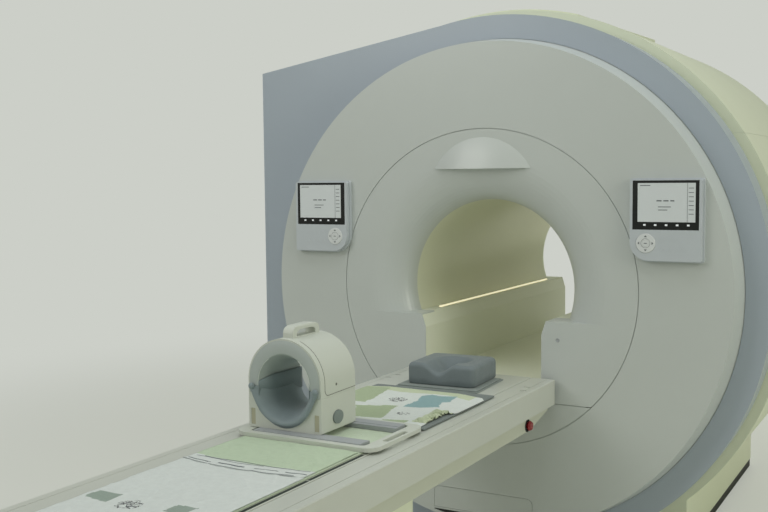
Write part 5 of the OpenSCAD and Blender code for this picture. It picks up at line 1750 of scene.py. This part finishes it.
    def build(self) -> None:
        """Build all sheets."""
        plain = Cotton("front_cotton", srgb(222, 228, 226), self.front_spots).build()
        printed = Cotton("draw_cotton", srgb(226, 232, 228), self.draw_spots).build()
        white = Cotton("border_cotton", srgb(222, 228, 226)).build()
        mint = Cotton("towel_mint", srgb(196, 214, 186)).build()
        line = Cotton("line_ink", srgb(96, 104, 112)).build()
        slate = Cotton("patch_slate", srgb(150, 166, 156)).build()
        band = Cotton("band_green", srgb(206, 216, 184)).build()
        green = Cotton("patch_green", srgb(174, 190, 154)).build()
        teal = Cotton("patch_teal", srgb(142, 178, 182)).build()
        self.front(plain, slate)
        self.towel(mint, white, line)
        self.draw(printed, [band, green, teal])


@dataclass
class Studio:
    """The floor, the lamps and the camera."""

    yaw: float = 29.53
    pitch: float = 4.37
    roll: float = -0.56
    lens: float = 48.02
    place: Point = (1.665, -4.575, 1.481)
    backdrop: Colour = srgb(204, 207, 200)
    floor_colour: Colour = srgb(214, 216, 206)
    fade: Pair = (1.6, 6.0)
    least: float = 0.55
    floor_half: float = 60.0
    room: float = 0.42
    lamps: tuple[tuple[str, Point, Point, float, float, Colour], ...] = (
        ("key_softbox", (-3.2, -6.0, 4.2), (0, -1.2, 1.0), 3.0, 85, (1.0, 0.99, 0.96)),
        ("side_softbox", (6.0, -2.4, 2.6), (0.8, -0.6, 0.9), 3.0, 90, (1.0, 1.0, 0.86)),
        ("top_softbox", (0.5, -1.6, 5.2), (0, -1.4, 0.8), 4.0, 85, (0.94, 0.98, 1.0)),
        ("rear_softbox", (0.0, 5.2, 1.6), (0, 0.4, 1.0), 2.5, 110, (1.0, 0.98, 0.88)),
    )
    unmirrored: tuple[str, ...] = ("top_softbox", "rear_softbox")

    def build_camera(self) -> None:
        """Build the camera at the photograph's place and angle."""
        yaw, pitch, roll = (math.radians(a) for a in (self.yaw, self.pitch, self.roll))
        ahead = Vector((-math.sin(yaw) * math.cos(pitch), math.cos(yaw) * math.cos(pitch), -math.sin(pitch)))
        right = Vector((math.cos(yaw), math.sin(yaw), 0))
        rise = right.cross(ahead)
        x = math.cos(roll) * right + math.sin(roll) * rise
        y = math.cos(roll) * rise - math.sin(roll) * right
        turn = Matrix((x, y, -ahead)).transposed()
        data = bpy.data.cameras.new("photo_camera")
        data.lens, data.sensor_width, data.clip_end = self.lens, 36.0, 100.0
        camera = bpy.data.objects.new("photo_camera", data)
        camera.matrix_world = Matrix.Translation(self.place) @ turn.to_4x4()
        bpy.context.scene.collection.objects.link(camera)
        bpy.context.scene.camera = camera

    def build_lamp(
        self, name: str, place: Point, goal: Point, size: float, power: float, tint: Colour
    ) -> None:
        """Build one soft lamp.

        Args:
            name: The lamp's name.
            place: Where it stands.
            goal: Where it points.
            size: Its side length.
            power: Its power in watts.
            tint: Its colour.
        """
        data = bpy.data.lights.new(name, "AREA")
        data.shape, data.size, data.energy, data.color = "SQUARE", size, power, tint
        lamp = bpy.data.objects.new(name, data)
        lamp.location = place
        lamp.visible_glossy = name not in self.unmirrored
        lamp.rotation_mode = "QUATERNION"
        lamp.rotation_quaternion = (Vector(goal) - Vector(place)).to_track_quat("-Z", "Y")
        bpy.context.scene.collection.objects.link(lamp)

    def build_floor(self) -> None:
        """Build the plain pale floor, which fades into the backdrop's colour far from the scanner."""
        half = self.floor_half
        points = [(-half, -half, 0), (half, -half, 0), (half, half, 0), (-half, half, 0)]
        mesh = bpy.data.meshes.new("floor")
        mesh.from_pydata(points, [], [(0, 1, 2, 3)])
        made = Material("floor_pale")
        made.set(Base_Color=(*self.floor_colour, 1.0), Roughness=0.7, Specular_IOR_Level=0.2)
        tree = made.tree
        far = add_node(tree, "VectorMath", operation="LENGTH")
        tree.links.new(add_node(tree, "TexCoord").outputs["Object"], far.inputs[0])
        fade = add_node(tree, "MapRange", interpolation_type="SMOOTHERSTEP")
        tree.links.new(far.outputs["Value"], fade.inputs["Value"])
        fade.inputs["From Min"].default_value, fade.inputs["From Max"].default_value = self.fade
        fade.inputs["To Min"].default_value = self.least
        seen = add_node(tree, "Math", operation="MULTIPLY")
        tree.links.new(fade.outputs["Result"], seen.inputs[0])
        tree.links.new(add_node(tree, "LightPath").outputs["Is Camera Ray"], seen.inputs[1])
        glow = add_node(tree, "Emission")
        glow.inputs["Color"].default_value = (*self.backdrop, 1.0)
        mix = add_node(tree, "MixShader")
        tree.links.new(seen.outputs[0], mix.inputs[0])
        tree.links.new(made.shader.outputs[0], mix.inputs[1])
        tree.links.new(glow.outputs[0], mix.inputs[2])
        out = next(n for n in tree.nodes if n.type == "OUTPUT_MATERIAL")
        tree.links.new(mix.outputs[0], out.inputs["Surface"])
        mesh.materials.append(made.made)
        floor = bpy.data.objects.new("floor", mesh)
        bpy.context.scene.collection.objects.link(floor)

    def build_world(self) -> None:
        """Build the soft room light, with a plain backdrop where the camera looks past the scanner."""
        world = bpy.data.worlds.new("studio")
        bpy.context.scene.world = world
        world.use_nodes = True
        tree = world.node_tree
        light = tree.nodes["Background"]
        light.inputs["Color"].default_value = (*srgb(222, 226, 214), 1.0)
        light.inputs["Strength"].default_value = self.room
        shown = add_node(tree, "Background")
        shown.inputs["Color"].default_value = (*self.backdrop, 1.0)
        mix = add_node(tree, "MixShader")
        tree.links.new(add_node(tree, "LightPath").outputs["Is Camera Ray"], mix.inputs[0])
        tree.links.new(light.outputs[0], mix.inputs[1])
        tree.links.new(shown.outputs[0], mix.inputs[2])
        tree.links.new(mix.outputs[0], tree.nodes["World Output"].inputs["Surface"])

    def build(self) -> None:
        """Build the stage."""
        bpy.context.scene.view_settings.view_transform = "Standard"
        self.build_camera()
        self.build_floor()
        self.build_world()
        for lamp in self.lamps:
            self.build_lamp(*lamp)


def main() -> None:
    """Load the frame, dress its nodes and build every added piece."""
    logging.basicConfig(level=logging.INFO, format="%(name)s: %(message)s")
    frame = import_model()
    Studio().build()
    gantry = Gantry()
    gantry.dress(frame["nodes"])
    gantry.build_lock()
    for side in Side:
        ControlPanel(side, gantry).build()
        LOG.info("built the %s control panel", side.name.lower())
    PatientTable(gantry).build()
    KneeCoil().build()
    LOG.info("built the knee coil's details")
    HeadCushion().build()
    Mats().build()
    Sheets().build()
    LOG.info("built the soft pieces")


if __name__ == "__main__":
    main()
